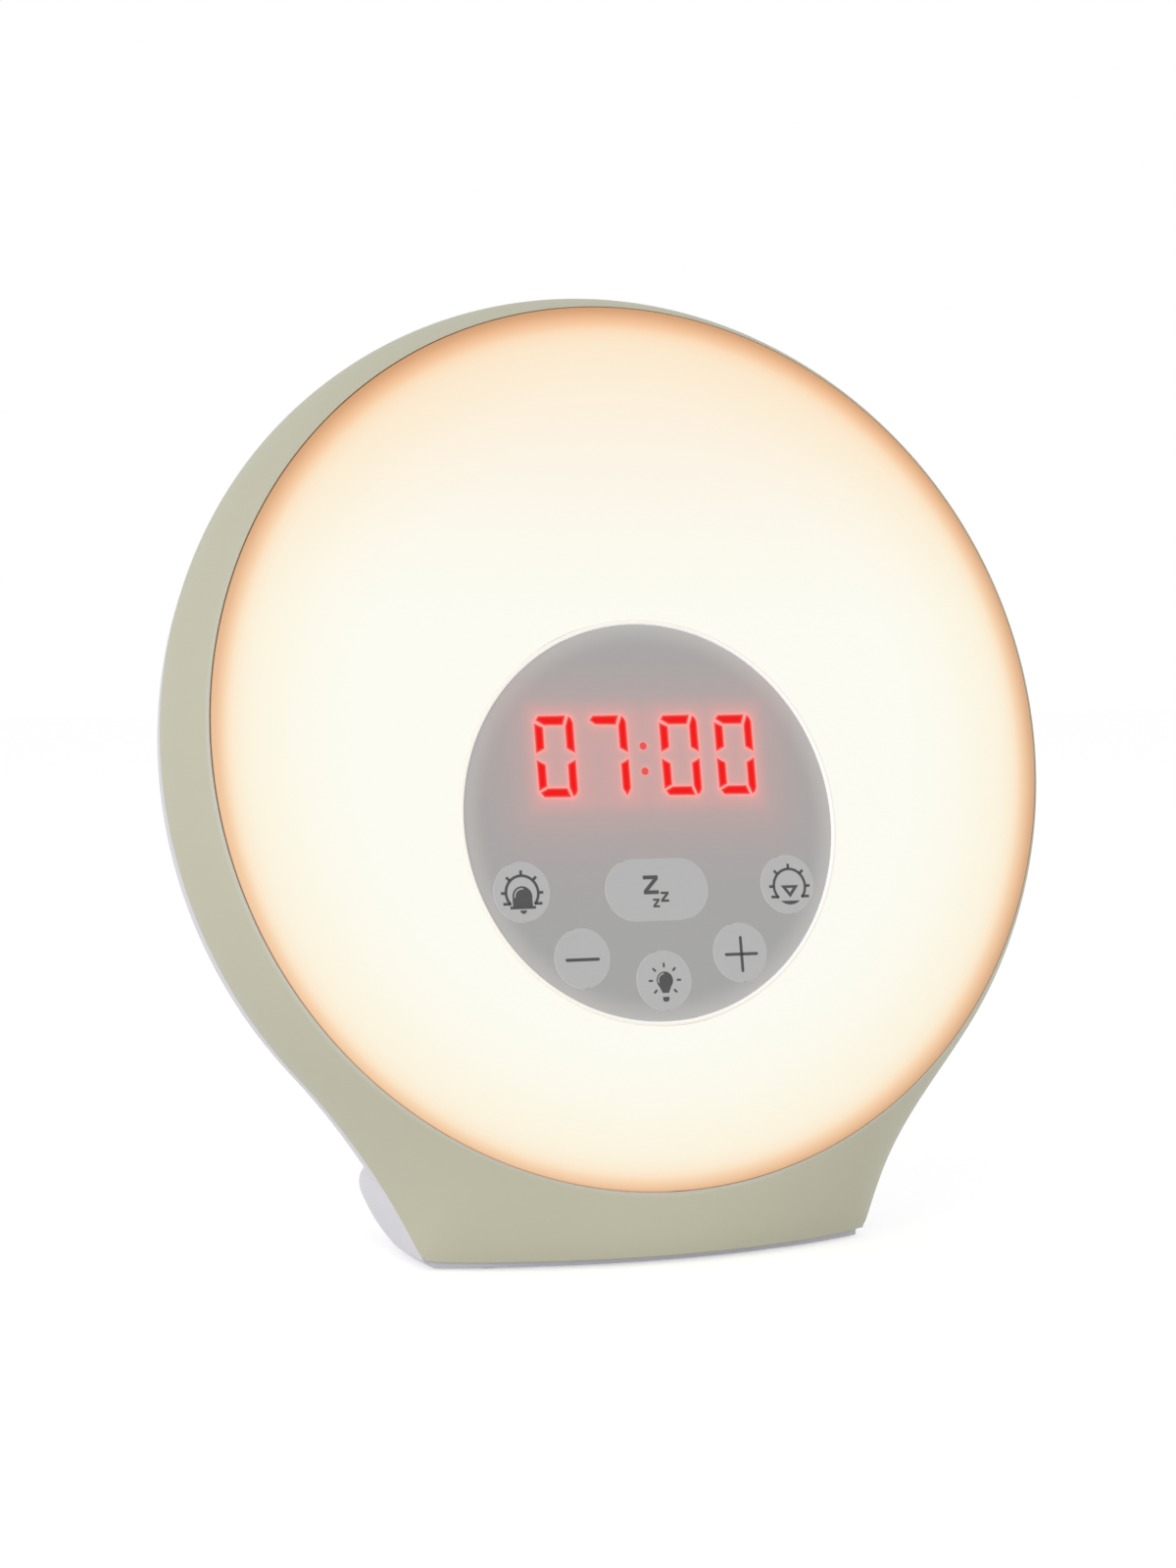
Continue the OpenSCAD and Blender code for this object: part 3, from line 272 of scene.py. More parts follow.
def spun(section, steps):
    """A closed section of (radius, height) points turned about the axis."""
    bm = bmesh.new()
    points = [bm.verts.new((r, 0, w)) for r, w in section]
    edges = [bm.edges.new((points[i - 1], points[i])) for i in range(len(points))]
    bmesh.ops.spin(bm, geom=points + edges, cent=(0, 0, 0), axis=(0, 0, 1), angle=2 * math.pi,
                   steps=steps, use_merge=True)
    bmesh.ops.remove_doubles(bm, verts=bm.verts, dist=MERGE)
    bmesh.ops.recalc_face_normals(bm, faces=bm.faces)
    return bm


def slab(bm, points, low, high):
    """Adds a flat shape with straight sides between two heights."""
    face = bm.faces.new([bm.verts.new((x, y, low)) for x, y in points])
    made = bmesh.ops.extrude_face_region(bm, geom=[face])["geom"]
    bmesh.ops.translate(bm, verts=verts_of(made), vec=(0, 0, high - low))


def slabs(shapes, low, high):
    """Several flat shapes between the same two heights."""
    bm = bmesh.new()
    for points in shapes:
        slab(bm, points, low, high)
    bmesh.ops.recalc_face_normals(bm, faces=bm.faces)
    return bm


def disc(x, y, r, steps=48):
    return arc(x, y, r, 0, 360 - 360 / steps, steps - 1)


def arc(x, y, r, start, end, steps=24):
    """Points of an arc from one angle to another, in degrees."""
    angles = [math.radians(start + (end - start) * i / steps) for i in range(steps + 1)]
    return [(x + r * math.cos(a), y + r * math.sin(a)) for a in angles]


def bar(a, b, width):
    """Outline of a straight bar between two points."""
    a, b = Vector(a), Vector(b)
    side = (b - a).orthogonal().normalized() * width / 2
    return [a + side, b + side, b - side, a - side]


def rounded_box(x, y, width, height, r):
    """Outline of a box with round corners."""
    half, tall, points = width / 2 - r, height / 2 - r, []
    for start, across, up in ((0, 1, 1), (90, -1, 1), (180, -1, -1), (270, 1, -1)):
        points += arc(x + across * half, y + up * tall, r, start, start + 90, 8)
    return points


def carve(body, tool):
    """The body less the tool, which may hold several separate shapes."""
    things = []
    for bm in (body, tool):
        thing = bpy.data.objects.new("work", bpy.data.meshes.new("work"))
        bmesh.ops.recalc_face_normals(bm, faces=bm.faces)
        bm.to_mesh(thing.data)
        bpy.context.scene.collection.objects.link(thing)
        things.append(thing)
    cut = things[0].modifiers.new("cut", "BOOLEAN")
    cut.operation, cut.solver, cut.object = "DIFFERENCE", "EXACT", things[1]
    whole = things[0].evaluated_get(bpy.context.evaluated_depsgraph_get())
    result = bmesh.new()
    result.from_mesh(whole.to_mesh())
    for thing in things:
        bpy.data.objects.remove(thing)
    return result


def piece(name, bm, material, place=FACE, body="lamp", nodes=(), sharp=32):
    """Places a drawn shape on the lamp, in metres, with its material and body."""
    bm.transform(Matrix.Scale(0.001, 4) @ place)
    mesh = bpy.data.meshes.new(name)
    bm.to_mesh(mesh)
    bm.free()
    mesh.shade_smooth()
    mesh.set_sharp_from_angle(angle=math.radians(sharp))
    made = bpy.data.objects.new(name, mesh)
    mesh.materials.append(material)
    bpy.context.scene.collection.objects.link(made)
    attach(made, body)
    if nodes:
        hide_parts(*nodes)


# ---------------------------------------------------------------- materials

def blank(name):
    """A new material, its nodes, its shader and the position on the piece."""
    material = bpy.data.materials.new(name)
    material.use_nodes = True
    tree = material.node_tree
    return material, tree, tree.nodes["Principled BSDF"], add(tree, "TexCoord").outputs["Object"]


def face_place(tree, place):
    """Position in the face's own frame, in millimetres."""
    return add(tree, "Mapping", {"Vector": place, "Location": (0, FACE_Y / 1000, FACE_Z / 1000),
                                 "Rotation": (math.pi / 2 - LEAN, 0, 0), "Scale": (0.001,) * 3},
               vector_type="TEXTURE").outputs[0]


def flat_radius(tree, spot):
    """A position in the face's frame pressed flat, and its distance from the middle."""
    flat = add(tree, "VectorMath", {0: spot, 1: (1, 1, 0)}, operation="MULTIPLY").outputs[0]
    return flat, add(tree, "VectorMath", {0: flat}, operation="LENGTH").outputs["Value"]


def ramp(tree, value, low, high, stops):
    """Colour by a value between two limits, with stops given in the value's own measure."""
    share = add(tree, "MapRange", {"Value": value, "From Min": low, "From Max": high}).outputs[0]
    return add(tree, "ValToRGB", {"Fac": share},
               stops=[((at - low) / (high - low), code) for at, code in stops]).outputs[0]


def moulded(name, code, other, rough, grain, depth, cloud=30, metallic=0.0, ior=1.5, uneven=0.06):
    """A faint cloudy tone, slightly uneven gloss and a fine relief. Grain, cloud and depth in mm."""
    material, tree, shader, place = blank(name)
    clouds = add(tree, "TexNoise", {"Vector": place, "Scale": 1000 / cloud, "Detail": 3.0}).outputs[0]
    grains = add(tree, "TexNoise", {"Vector": place, "Scale": 1000 / grain, "Detail": 2.0}).outputs[0]
    tone = add(tree, "Mix", {0: clouds, 6: colour(code), 7: colour(other)}, data_type="RGBA").outputs[2]
    gloss = add(tree, "MapRange", {"Value": grains, "From Min": 0.3, "From Max": 0.7,
                                   "To Min": rough - uneven, "To Max": rough + uneven}).outputs[0]
    relief = add(tree, "Bump", {"Height": grains, "Strength": 0.6, "Distance": depth / 1000}).outputs[0]
    for name, socket in (("Base Color", tone), ("Roughness", gloss), ("Normal", relief)):
        tree.links.new(socket, shader.inputs[name])
    shader.inputs["Metallic"].default_value = metallic
    if not metallic:
        shader.inputs["IOR"].default_value = ior
    return material


def painted_lip_highlight(material):
    """Painted highlight on the lip's narrow front: a shade lighter than the wall where light
    from the low left falls on it, fading out towards the top, where the wall is as light."""
    tree = material.node_tree
    shader = tree.nodes["Principled BSDF"]
    wall_tone = shader.inputs["Base Color"].links[0].from_socket
    spot = face_place(tree, add(tree, "TexCoord").outputs["Object"])
    parts = add(tree, "SeparateXYZ", {0: spot}).outputs
    share = 1.0
    for value, low, high, start, end in ((flat_radius(tree, spot)[1], 82.7, 82.9, 1, 0),
                                         (parts["Z"], -1.9, -1.7, 0, 1), (parts["Y"], 0, 45, 1, 0)):
        inside = add(tree, "MapRange", {"Value": value, "From Min": low, "From Max": high,
                                        "To Min": start, "To Max": end}).outputs[0]
        share = add(tree, "Math", {0: inside, 1: share}, operation="MULTIPLY").outputs[0]
    # Painted highlight: the lip's front is mixed towards a lighter sage
    tone = add(tree, "Mix", {0: share, 6: wall_tone, 7: colour("d3d2c4")}, data_type="RGBA")
    tree.links.new(tone.outputs[2], shader.inputs["Base Color"])


def painted_gap_light(tree, code):
    """Painted light on the side walls of a gap, in linear colour: a glow that fills in the
    shade of the narrow gaps round the keys, so that they don't read as lines."""
    normal = add(tree, "NewGeometry").outputs["True Normal"]
    facing = add(tree, "VectorMath", {0: normal, 1: FACE.to_3x3() @ Vector((0, 0, 1))},
                 operation="DOT_PRODUCT").outputs["Value"]
    walls = add(tree, "MapRange", {"Value": facing, "From Min": 0.3, "From Max": 0.8, "To Min": 1,
                                   "To Max": 0}).outputs[0]
    return add(tree, "Mix", {0: walls, 6: (0, 0, 0, 1), 7: colour(code)}, data_type="RGBA").outputs[2]


def paint_gap_light(material, code):
    """Gives a moulded material painted light on the side walls of its gaps."""
    tree = material.node_tree
    shader = tree.nodes["Principled BSDF"]
    tree.links.new(painted_gap_light(tree, code), shader.inputs["Emission Color"])
    shader.inputs["Emission Strength"].default_value = 1.0


# ABS moulded in a finely eroded tool: an even matt sage with a soft, wide highlight.
# The real grain is 0.05 mm wide; it is drawn at 0.35 mm so that it shows.
sage_abs = moulded("sage_abs_eroded_matt", "d0ceb7", "cccab3", 0.52, 0.35, 0.006, ior=1.53)
# The lip's front gets a painted highlight in the sage's colour
painted_lip_highlight(sage_abs)
# White ABS from the same kind of tool, a little smoother and faintly cool
white_abs = moulded("white_abs_fine_matt", "e8e6eb", "e3e1e7", 0.42, 0.35, 0.005, ior=1.53)
# The base plate is a plainer white moulding, a tone greyer all over than the foot: painted shade for where
# it sits low under the skirt, near the table
base_abs_painted_shade = moulded("base_abs_matt_painted_shade", "d2d1da", "cdccd6", 0.45, 0.4, 0.005, ior=1.53)
# Grey polycarbonate keys with a smooth satin face, a tone lighter than the panel round them
key_satin = moulded("key_polycarbonate_satin", "c5c4c4", "c3c2c2", 0.4, 0.4, 0.003, ior=1.58, cloud=8)
# Painted light on the keys' side walls fills in the shade of the gaps round them
paint_gap_light(key_satin, "828281")
# Screen-printed ink lies on the keys as a dull dark grey film
sign_ink = moulded("screen_printed_ink", "4c4c4e", "525254", 0.55, 0.25, 0.002, cloud=3)
# Thermoplastic rubber pads: dark, dull and slightly powdery
pad_rubber = moulded("pad_rubber_moulded", "4a4a4d", "525255", 0.8, 0.3, 0.02, cloud=4, ior=1.52)
# Glass-filled nylon for sockets, chips and plungers: black with a hard, low sheen
black_nylon = moulded("black_nylon_moulded", "1c1c1e", "232326", 0.45, 0.3, 0.01, cloud=5, ior=1.53)
# The reflector and the cup round the display are glossy white, to send the light forwards
reflector_white = moulded("reflector_white_gloss", "f2f2ee", "eeeeea", 0.25, 0.5, 0.002, ior=1.53)
# Glass-fibre board under green solder mask: a slick surface with the weave just under it
board_green = moulded("board_green_solder_mask", "1d6a3a", "23763f", 0.3, 0.6, 0.01, cloud=1.2, ior=1.5)
board_white = moulded("ring_board_white_mask", "ecece8", "e4e4e0", 0.35, 0.6, 0.01, cloud=1.2, ior=1.5)
# Inside the display: pale grey case, and bars of cloudy epoxy that stay dull when unlit
case_grey = moulded("display_case_grey_moulded", "c9c9ce", "c3c3c9", 0.5, 0.3, 0.01)
segment_dark = moulded("segment_unlit_epoxy", "bdb6b6", "b6afaf", 0.35, 0.3, 0.004)
# Small things on the boards: yellow phosphor lamps, sleeves, plugs, ribbon and wires
lamp_phosphor = moulded("lamp_phosphor_silicone", "f3dc8e", "ecd27c", 0.4, 0.4, 0.02, cloud=2, ior=1.41)
sleeve_blue = moulded("capacitor_sleeve_shrunk", "3a4468", "424d74", 0.35, 0.5, 0.02, cloud=3)
nylon_cream = moulded("connector_nylon_moulded", "e6e0cc", "ded8c4", 0.45, 0.3, 0.01, cloud=4)
ribbon_grey = moulded("ribbon_vinyl_extruded", "bdbdc2", "b4b4ba", 0.4, 1.27, 0.1, cloud=5)
wire_red = moulded("wire_vinyl_red_extruded", "b4241c", "a81f18", 0.35, 0.5, 0.01, cloud=6)
wire_black = moulded("wire_vinyl_black_extruded", "242427", "2c2c30", 0.35, 0.5, 0.01, cloud=6)
# Speaker: fibrous pressed paper that takes all shine away, and a dull ground magnet
cone_paper = moulded("cone_paper_pressed", "34312e", "3f3b37", 0.85, 0.5, 0.05, cloud=2)
magnet_ferrite = moulded("magnet_ferrite_ground", "3b3b3e", "444448", 0.6, 0.4, 0.02, cloud=3)
# Metals: zinc-plated steel has a cool satin sheen with slightly uneven plating
zinc_steel = moulded("zinc_plated_steel", "b9bbbe", "adb0b4", 0.32, 0.3, 0.004, cloud=2, metallic=1.0)
frame_steel = moulded("pressed_steel_galvanised", "a9abae", "9b9ea2", 0.4, 0.8, 0.008, cloud=6, metallic=1.0)
tinned_pin = moulded("tinned_brass_pin", "c8c6bf", "bdbbb3", 0.28, 0.3, 0.004, cloud=1, metallic=1.0)
coil_copper = moulded("enamelled_copper_winding", "b3663a", "a85c32", 0.3, 0.2, 0.03, cloud=1, metallic=1.0)


DIFFUSER_PALE, DIFFUSER_GLOW = 0.36, 0.675
RIM_STOPS = ((56, "fefef4"), (66, "fffcee"), (70, "fefae8"), (74, "fef7e2"), (76, "fef5df"),
             (78, "feeed4"), (79, "fde6c6"), (80, "f8d6b0"), (81, "f1c69e"), (82.4, "dcae84"),
             (83.6, "c99c74"))


def diffuser_material():
    """Opal polycarbonate, moulded thin and lit from behind: cream white in the middle,
    warming to amber where the wall turns away from the lamps at its rounded edge."""
    material, tree, shader, place = blank("opal_polycarbonate_lit")
    spot = face_place(tree, place)
    radius = flat_radius(tree, spot)[1]
    parts = add(tree, "SeparateXYZ", {0: spot}).outputs
    height = parts["Y"]
    # The rim's warm band widens, in mm, towards the top and the right, further from the lamps
    lift = add(tree, "VectorMath", {0: spot, 1: (0.7 / 80, 0.85 / 80, 0)},
               operation="DOT_PRODUCT").outputs["Value"]
    cross = add(tree, "Math", {0: parts["X"], 1: height}, operation="MULTIPLY").outputs[0]
    lift = add(tree, "Math", {0: cross, 1: -0.9 / 6400, 2: lift}, operation="MULTIPLY_ADD").outputs[0]
    lift = add(tree, "Math", {0: lift, 1: 0.45}, operation="ADD").outputs[0]
    reach = add(tree, "Math", {0: radius, 1: lift}, operation="ADD").outputs[0]
    rim = ramp(tree, reach, 52, 84.4, RIM_STOPS)
    # The upper part is a shade warmer
    warm = add(tree, "MapRange", {"Value": height, "From Min": 18, "From Max": 72},
               interpolation_type="SMOOTHSTEP").outputs[0]
    tint = add(tree, "Mix", {0: warm, 6: (1, 1, 1, 1), 7: colour("fff4ec")}, data_type="RGBA").outputs[2]
    lit = add(tree, "Mix", {0: 1.0, 6: rim, 7: tint}, data_type="RGBA", blend_type="MULTIPLY").outputs[2]
    # Painted shade: the side wall down in the gap to the lip, where no lamp reaches, is darkened in its glow
    # and its colour, darker towards the top
    deep = add(tree, "MapRange", {"Value": parts["Z"], "From Min": -0.95, "From Max": -0.65}).outputs[0]
    upper = add(tree, "MapRange", {"Value": height, "From Min": -60, "From Max": -10}).outputs[0]
    gap_painted_shade = add(tree, "Mix", {0: upper, 6: colour("c2a184"), 7: colour("66533f")}, data_type="RGBA").outputs[2]
    lit = add(tree, "Mix", {0: deep, 6: gap_painted_shade, 7: lit}, data_type="RGBA").outputs[2]
    shade = add(tree, "Mix", {0: 1.0, 6: lit, 7: (DIFFUSER_PALE,) * 3 + (1,)}, data_type="RGBA",
                blend_type="MULTIPLY").outputs[2]
    # Fine flow mottle of the opal pigment, about 6 mm across, only seen in the gloss
    mottle = add(tree, "TexNoise", {"Vector": place, "Scale": 1000 / 6, "Detail": 3.0}).outputs[0]
    gloss = add(tree, "MapRange", {"Value": mottle, "To Min": 0.4, "To Max": 0.5}).outputs[0]
    for name, socket in (("Emission Color", lit), ("Base Color", shade), ("Roughness", gloss)):
        tree.links.new(socket, shader.inputs[name])
    shader.inputs["Emission Strength"].default_value = DIFFUSER_GLOW
    shader.inputs["IOR"].default_value = 1.58
    shader.inputs["Specular IOR Level"].default_value = 0.25
    return material


def panel_place(tree, place):
    """Position from the panel's middle and the distance from it, in millimetres."""
    middle = add(tree, "VectorMath", {0: face_place(tree, place), 1: (0, PANEL_DROP, 0)},
                 operation="ADD").outputs[0]
    return flat_radius(tree, middle)


def trim_material():
    """Clear-white acrylic ring that the lamps light from behind: cream like the disc, with a
    painted highlight on its inner edge and a dull warm line of painted shade where it meets the disc."""
    material, tree, shader, place = blank("trim_acrylic_lit")
    # Painted highlight at the inner edge, painted shade line at the outer edge by the disc
    lit = ramp(tree, panel_place(tree, place)[1], 36.6, 37.6,
               ((36.9, "ffffff"), (37.0, "f8f3e8"), (37.38, "f8f3e8"), (37.48, "ecdfd6")))
    clouds = add(tree, "TexNoise", {"Vector": place, "Scale": 1000 / 8, "Detail": 2.0}).outputs[0]
    gloss = add(tree, "MapRange", {"Value": clouds, "To Min": 0.3, "To Max": 0.4}).outputs[0]
    for name, socket in (("Base Color", lit), ("Emission Color", lit), ("Roughness", gloss)):
        tree.links.new(socket, shader.inputs[name])
    shader.inputs["Emission Strength"].default_value = 0.2
    return material


RED_BOX, RED_FADE = (21.8, 7.5, 0), 5.5  # half the digits' field and how far their light goes


def panel_material(name, glow):
    """Grey smoked polycarbonate with a satin face. The rim is a tone lighter where the
    lamp's light leaks in, and the display tints it red from behind. With glow it's the film
    over the display, whose own attributes say where the bars' light is."""
    material, tree, shader, place = blank(name)
    flat, radius = panel_place(tree, place)
    edge = add(tree, "MapRange", {"Value": radius, "From Min": 32, "From Max": 36.6},
               interpolation_type="SMOOTHSTEP").outputs[0]
    clouds = add(tree, "TexNoise", {"Vector": place, "Scale": 1000 / 25, "Detail": 2.0}).outputs[0]
    tone = add(tree, "Mix", {0: clouds, 6: colour("b5b5b4"), 7: colour("b3b3b2")},
               data_type="RGBA").outputs[2]
    tone = add(tree, "Mix", {0: edge, 6: tone, 7: colour("c8c7c4")}, data_type="RGBA").outputs[2]
    # Red light spreads in the plastic and fades to a third every 5.5 mm round the display
    away = flat
    for operation, amount in (("SUBTRACT", (0, RISE - 1, 0)), ("ABSOLUTE", (0, 0, 0)),
                              ("SUBTRACT", RED_BOX), ("MAXIMUM", (0, 0, 0))):
        away = add(tree, "VectorMath", {0: away, 1: amount}, operation=operation).outputs[0]
    away = add(tree, "VectorMath", {0: away}, operation="LENGTH").outputs["Value"]
    away = add(tree, "Math", {0: away, 1: -1 / RED_FADE}, operation="MULTIPLY").outputs[0]
    spread = add(tree, "Math", {0: away}, operation="EXPONENT").outputs[0]
    tone = add(tree, "Mix", {0: spread, 6: tone, 7: colour("d9b5b3")}, data_type="RGBA").outputs[2]
    if glow:
        tint = add(tree, "Attribute", attribute_name="tint").outputs["Fac"]
        halo = add(tree, "Attribute", attribute_name="halo").outputs["Fac"]
        tone = add(tree, "Mix", {0: tint, 6: tone, 7: colour("e7b5b1")}, data_type="RGBA").outputs[2]
        light = add(tree, "Mix", {0: halo, 6: (0, 0, 0, 1), 7: colour("e91b1b")},
                    data_type="RGBA").outputs[2]
    else:
        # Painted light on the walls of the key holes, filling in their shade
        light = painted_gap_light(tree, "7a7a79")
    grains = add(tree, "TexNoise", {"Vector": place, "Scale": 1000 / 0.4, "Detail": 2.0}).outputs[0]
    gloss = add(tree, "MapRange", {"Value": grains, "To Min": 0.38, "To Max": 0.5}).outputs[0]
    relief = add(tree, "Bump", {"Height": grains, "Strength": 0.5, "Distance": 0.000003}).outputs[0]
    for name, socket in (("Base Color", tone), ("Emission Color", light), ("Roughness", gloss),
                         ("Normal", relief)):
        tree.links.new(socket, shader.inputs[name])
    shader.inputs["Emission Strength"].default_value = 1.0
    shader.inputs["IOR"].default_value = 1.58
    shader.inputs["Specular IOR Level"].default_value = 0.3
    return material


def segment_material(name, rim, soft, core):
    """Red light of a display bar through the panel: blurred at its edge, deep in its middle."""
    material, tree, shader, place = blank(name)
    share = add(tree, "Attribute", attribute_name="core").outputs["Fac"]
    clouds = add(tree, "TexNoise", {"Vector": place, "Scale": 1000 / 2, "Detail": 1.0}).outputs[0]
    share = add(tree, "Math", {0: clouds, 1: -0.06, 2: share}, operation="MULTIPLY_ADD").outputs[0]
    lit = add(tree, "ValToRGB", {"Fac": share}, stops=[(0, rim), (0.5, soft), (0.94, core)]).outputs[0]
    tree.links.new(lit, shader.inputs["Emission Color"])
    shader.inputs["Base Color"].default_value = colour("100102")
    shader.inputs["Emission Strength"].default_value = 1.0
    shader.inputs["Roughness"].default_value = 0.5
    shader.inputs["Specular IOR Level"].default_value = 0.1
    return material


opal = diffuser_material()
trim_white = trim_material()
panel_grey = panel_material("panel_smoked_polycarbonate", False)
panel_lit = panel_material("panel_over_the_display", True)
segment_red = segment_material("display_bar_red_light", "f57069", "f02e2b", "f20f0c")
colon_red = segment_material("colon_dot_red_light", "ea8480", "ea5c58", "ea524e")

# ---------------------------------------------------------------- front housing

# Lip: a small rounded edge between the diffuser and the outer wall, by radius and depth
LIP = ((LIP_R, -1.8), (LIP_R, -1.0), (82.23, -0.87), (82.29, -0.81), (82.38, LIP_W), (82.46, -0.83),
       (82.54, -0.93))
# Rings of the outer wall, by share of its depth, and how far and how early it bulges out
WALL_STEPS = (0.03, 0.06, 0.1, 0.14, 0.19, 0.25, 0.31, 0.38, 0.45, 0.52, 0.6, 0.68, 0.76, 0.84, 0.92,
              0.97, 1)
BULGE, BULGE_POWER = 4.6, 2.15
# Inside: the ledge that holds the disc, and the hollow behind it that opens into the skirt
LEDGE_R, LEDGE_FRONT, LEDGE_BACK, HOLLOW_R, HOLLOW_W = 78.8, -10.8, -12.2, 84.5, -13.9


def wall_row(t):
    """Ring of the outer wall at share t of its depth, bulging out from the lip to the edge."""
    def row(s):
        p = eased_edge(s, 0.006 + 0.016 * (1 - t))
        gain = BULGE * (1 - (1 - t) ** BULGE_POWER) + t * (Vector((p.x, p.y)).length - SHELL_R)
        return on_ray(p, FACE_R + gain, LIP_W + t * (p.z - LIP_W))
    return row


def hollow_row(s):
    """Ring inside the wall: level round the head, further back where the skirt is."""
    p = housing_edge(s)
    skirt = limited((Vector((p.x, p.y)).length - SHELL_R) / 6)
    return on_ray(p, HOLLOW_R, skirt * (0.3 * p.z - WALL - HOLLOW_W) + HOLLOW_W)


def ring_row(r, w):
    return lambda s: on_ray(housing_edge(s), r, w)


rows = ([ring_row(r, w) for r, w in LIP] + [wall_row(t) for t in WALL_STEPS]
        + [lambda s: housing_edge(s, WALL), hollow_row, ring_row(HOLLOW_R - 0.1, LEDGE_BACK),
           ring_row(LEDGE_R, LEDGE_BACK), ring_row(LEDGE_R, LEDGE_FRONT), ring_row(LIP_R, LEDGE_FRONT),
           ring_row(*LIP[0])])
piece("housing_shell", skin(400, rows), sage_abs, nodes=["front_housing"], sharp=40)

# ---------------------------------------------------------------- rear cover

COVER_INSET, COVER_DEPTH, COVER_INNER, COVER_WALL = 0.52, 38.5, 36.3, 2.2
DOME_DRAW, DOME_POWER = 24, 2.2  # how far the dome is drawn in, and how square it stays
# Screw wells on a ring, each in a post, their seats, and the heads and shanks in them
WELL_RING, WELL_ANGLES, POST_R, WELL_R, COVER_SEAT = 81.8, (18, 62, 118, 162, 205, 335), 5, 3, -19.9
HEAD_R, SHANK_R = 2.7, 1.4
# Slots before the speaker, above the middle, and the opening of the power inlet
GRILLE_R, GRILLE_RISE, SLOT_PITCH, SLOT_H, SLOT_ROUND = 22, 22, 4.4, 2, 0.95
INLET_AT, INLET_W, INLET_ROUND = (-27, -51), 9.4, 0.6


def cover_row(angle, inset, depth, floor, lead=0.0):
    """Ring of the cover's dome: a rounded quarter from the edge to the flat back."""
    a = math.radians(angle)
    w = -SHELL_DEPTH - math.sin(a) ** (2 / DOME_POWER) * (depth - SHELL_DEPTH)
    drawn = inset + (1 - math.cos(a) ** (2 / DOME_POWER)) * DOME_DRAW

    def row(s):
        p = outline(s, drawn, v_at(floor, w))
        return Vector((p.x, p.y, w + lead))
    return row


def cover_body(inset, depth, floor, lead):
    """The cover as a solid dome, whose front lies ahead of the joint by a lead."""
    angles = [0, 3, 6] + [6 + 84 * i / 22 for i in range(1, 23)]
    rows = [cover_row(a, inset, depth, floor) for a in angles]
    rows.insert(0, cover_row(0, inset + (0.4 if lead < 1 else 0), depth, floor, lead))
    back, front = Vector((0, 0, -depth)), Vector((0, 0, -SHELL_DEPTH + lead))
    return skin(400, [lambda s: front] + rows + [lambda s: back])


cover = cover_body(COVER_INSET, COVER_DEPTH, COVER_BOTTOM, 0.3)
hollow = cover_body(COVER_INSET + COVER_WALL, COVER_INNER, COVER_BOTTOM + COVER_WALL, 1.3)
screw_spots = [toward(a, WELL_RING) for a in WELL_ANGLES]
posts = slabs([disc(p.x, p.y, POST_R) for p in screw_spots], -60, -10)
cover = carve(cover, carve(hollow, posts))
cuts = bmesh.new()
for p in screw_spots:
    slab(cuts, disc(p.x, p.y, WELL_R), -50, COVER_SEAT)
for k in range(-4, 5):
    rise = SLOT_PITCH * k
    slot = rounded_box(0, GRILLE_RISE + rise, 2 * math.sqrt(GRILLE_R ** 2 - rise ** 2), SLOT_H, SLOT_ROUND)
    slab(cuts, slot, -50, -30)
slab(cuts, rounded_box(*INLET_AT, INLET_W, INLET_W, INLET_ROUND), -50, -30)
piece("cover_shell", carve(cover, cuts), white_abs, nodes=["rear_cover"])

# ---------------------------------------------------------------- rear foot and base

PLAN_POWER = 3.7  # how square the foot's plan is
BACK_SHARE = 0.85  # the part of a foot ring that isn't its straight front
TUCK_TOP, CROWN_FROM = 0.42, 1 - FOOT_CROWN / (FOOT_Z - SKIRT_Z)
FOOT_SHARES = [0, 0.02, 0.05, 0.085, 0.125, 0.17, 0.22, 0.28, 0.35, TUCK_TOP, CROWN_FROM] + [
    CROWN_FROM + (1 - CROWN_FROM) * math.sin(math.radians(7.5 * i)) for i in range(1, 13)]
# Base plate: drawn in from the base's sides and from the foot's back, by height on the table
PLATE_IN, PLATE_BACK, PLATE_LOW, PLATE_TOP = 1.8, 0.6, 0.4, 1.6
PLATE_HALF = BASE_HALF - PLATE_IN
PLATE_RINGS = ((0.25, PLATE_LOW), (0.07, 0.47), (0, 0.65), (0, 1.35), (0.07, 1.53), (0.25, PLATE_TOP))
PAD_HOLE_R, PAD_HOLE_TOP, BASE_SEAT = 5.1, 1, 1.1


def plan_point(angle, half, length):
    """Point of a rounded, nearly square half plan, 0 at the right and 180 at the left."""
    c, s = math.cos(math.radians(angle)), math.sin(math.radians(angle))
    f = (abs(c) ** PLAN_POWER + abs(s) ** PLAN_POWER) ** (-1 / PLAN_POWER)
    return half * c * f, length * s * f


def foot_row(k):
    """Ring of the foot at share k of its height: tucked in below, rounded off at the top."""
    z = SKIRT_Z + k * (FOOT_Z - SKIRT_Z)
    v = v_at(z, -SHELL_DEPTH)
    tuck = FOOT_TUCK * max(0, 1 - k / TUCK_TOP) ** 2.5
    rise = limited((k - CROWN_FROM) / (1 - CROWN_FROM))
    crown = FOOT_CROWN * (1 - math.sqrt(1 - rise * rise))
    y0 = y_on(v, -SHELL_DEPTH) + 0.15
    half = neck_u(v, 0.2) - crown

    def row(s):
        if s > BACK_SHARE:
            return Vector((half * (2 * (s - BACK_SHARE) / (1 - BACK_SHARE) - 1), y0, z))
        x, y = plan_point(180 * s / BACK_SHARE, half, CORNER_Y + FOOT_LEN - tuck - crown - y0)
        return Vector((x, y0 + y, z))
    return row


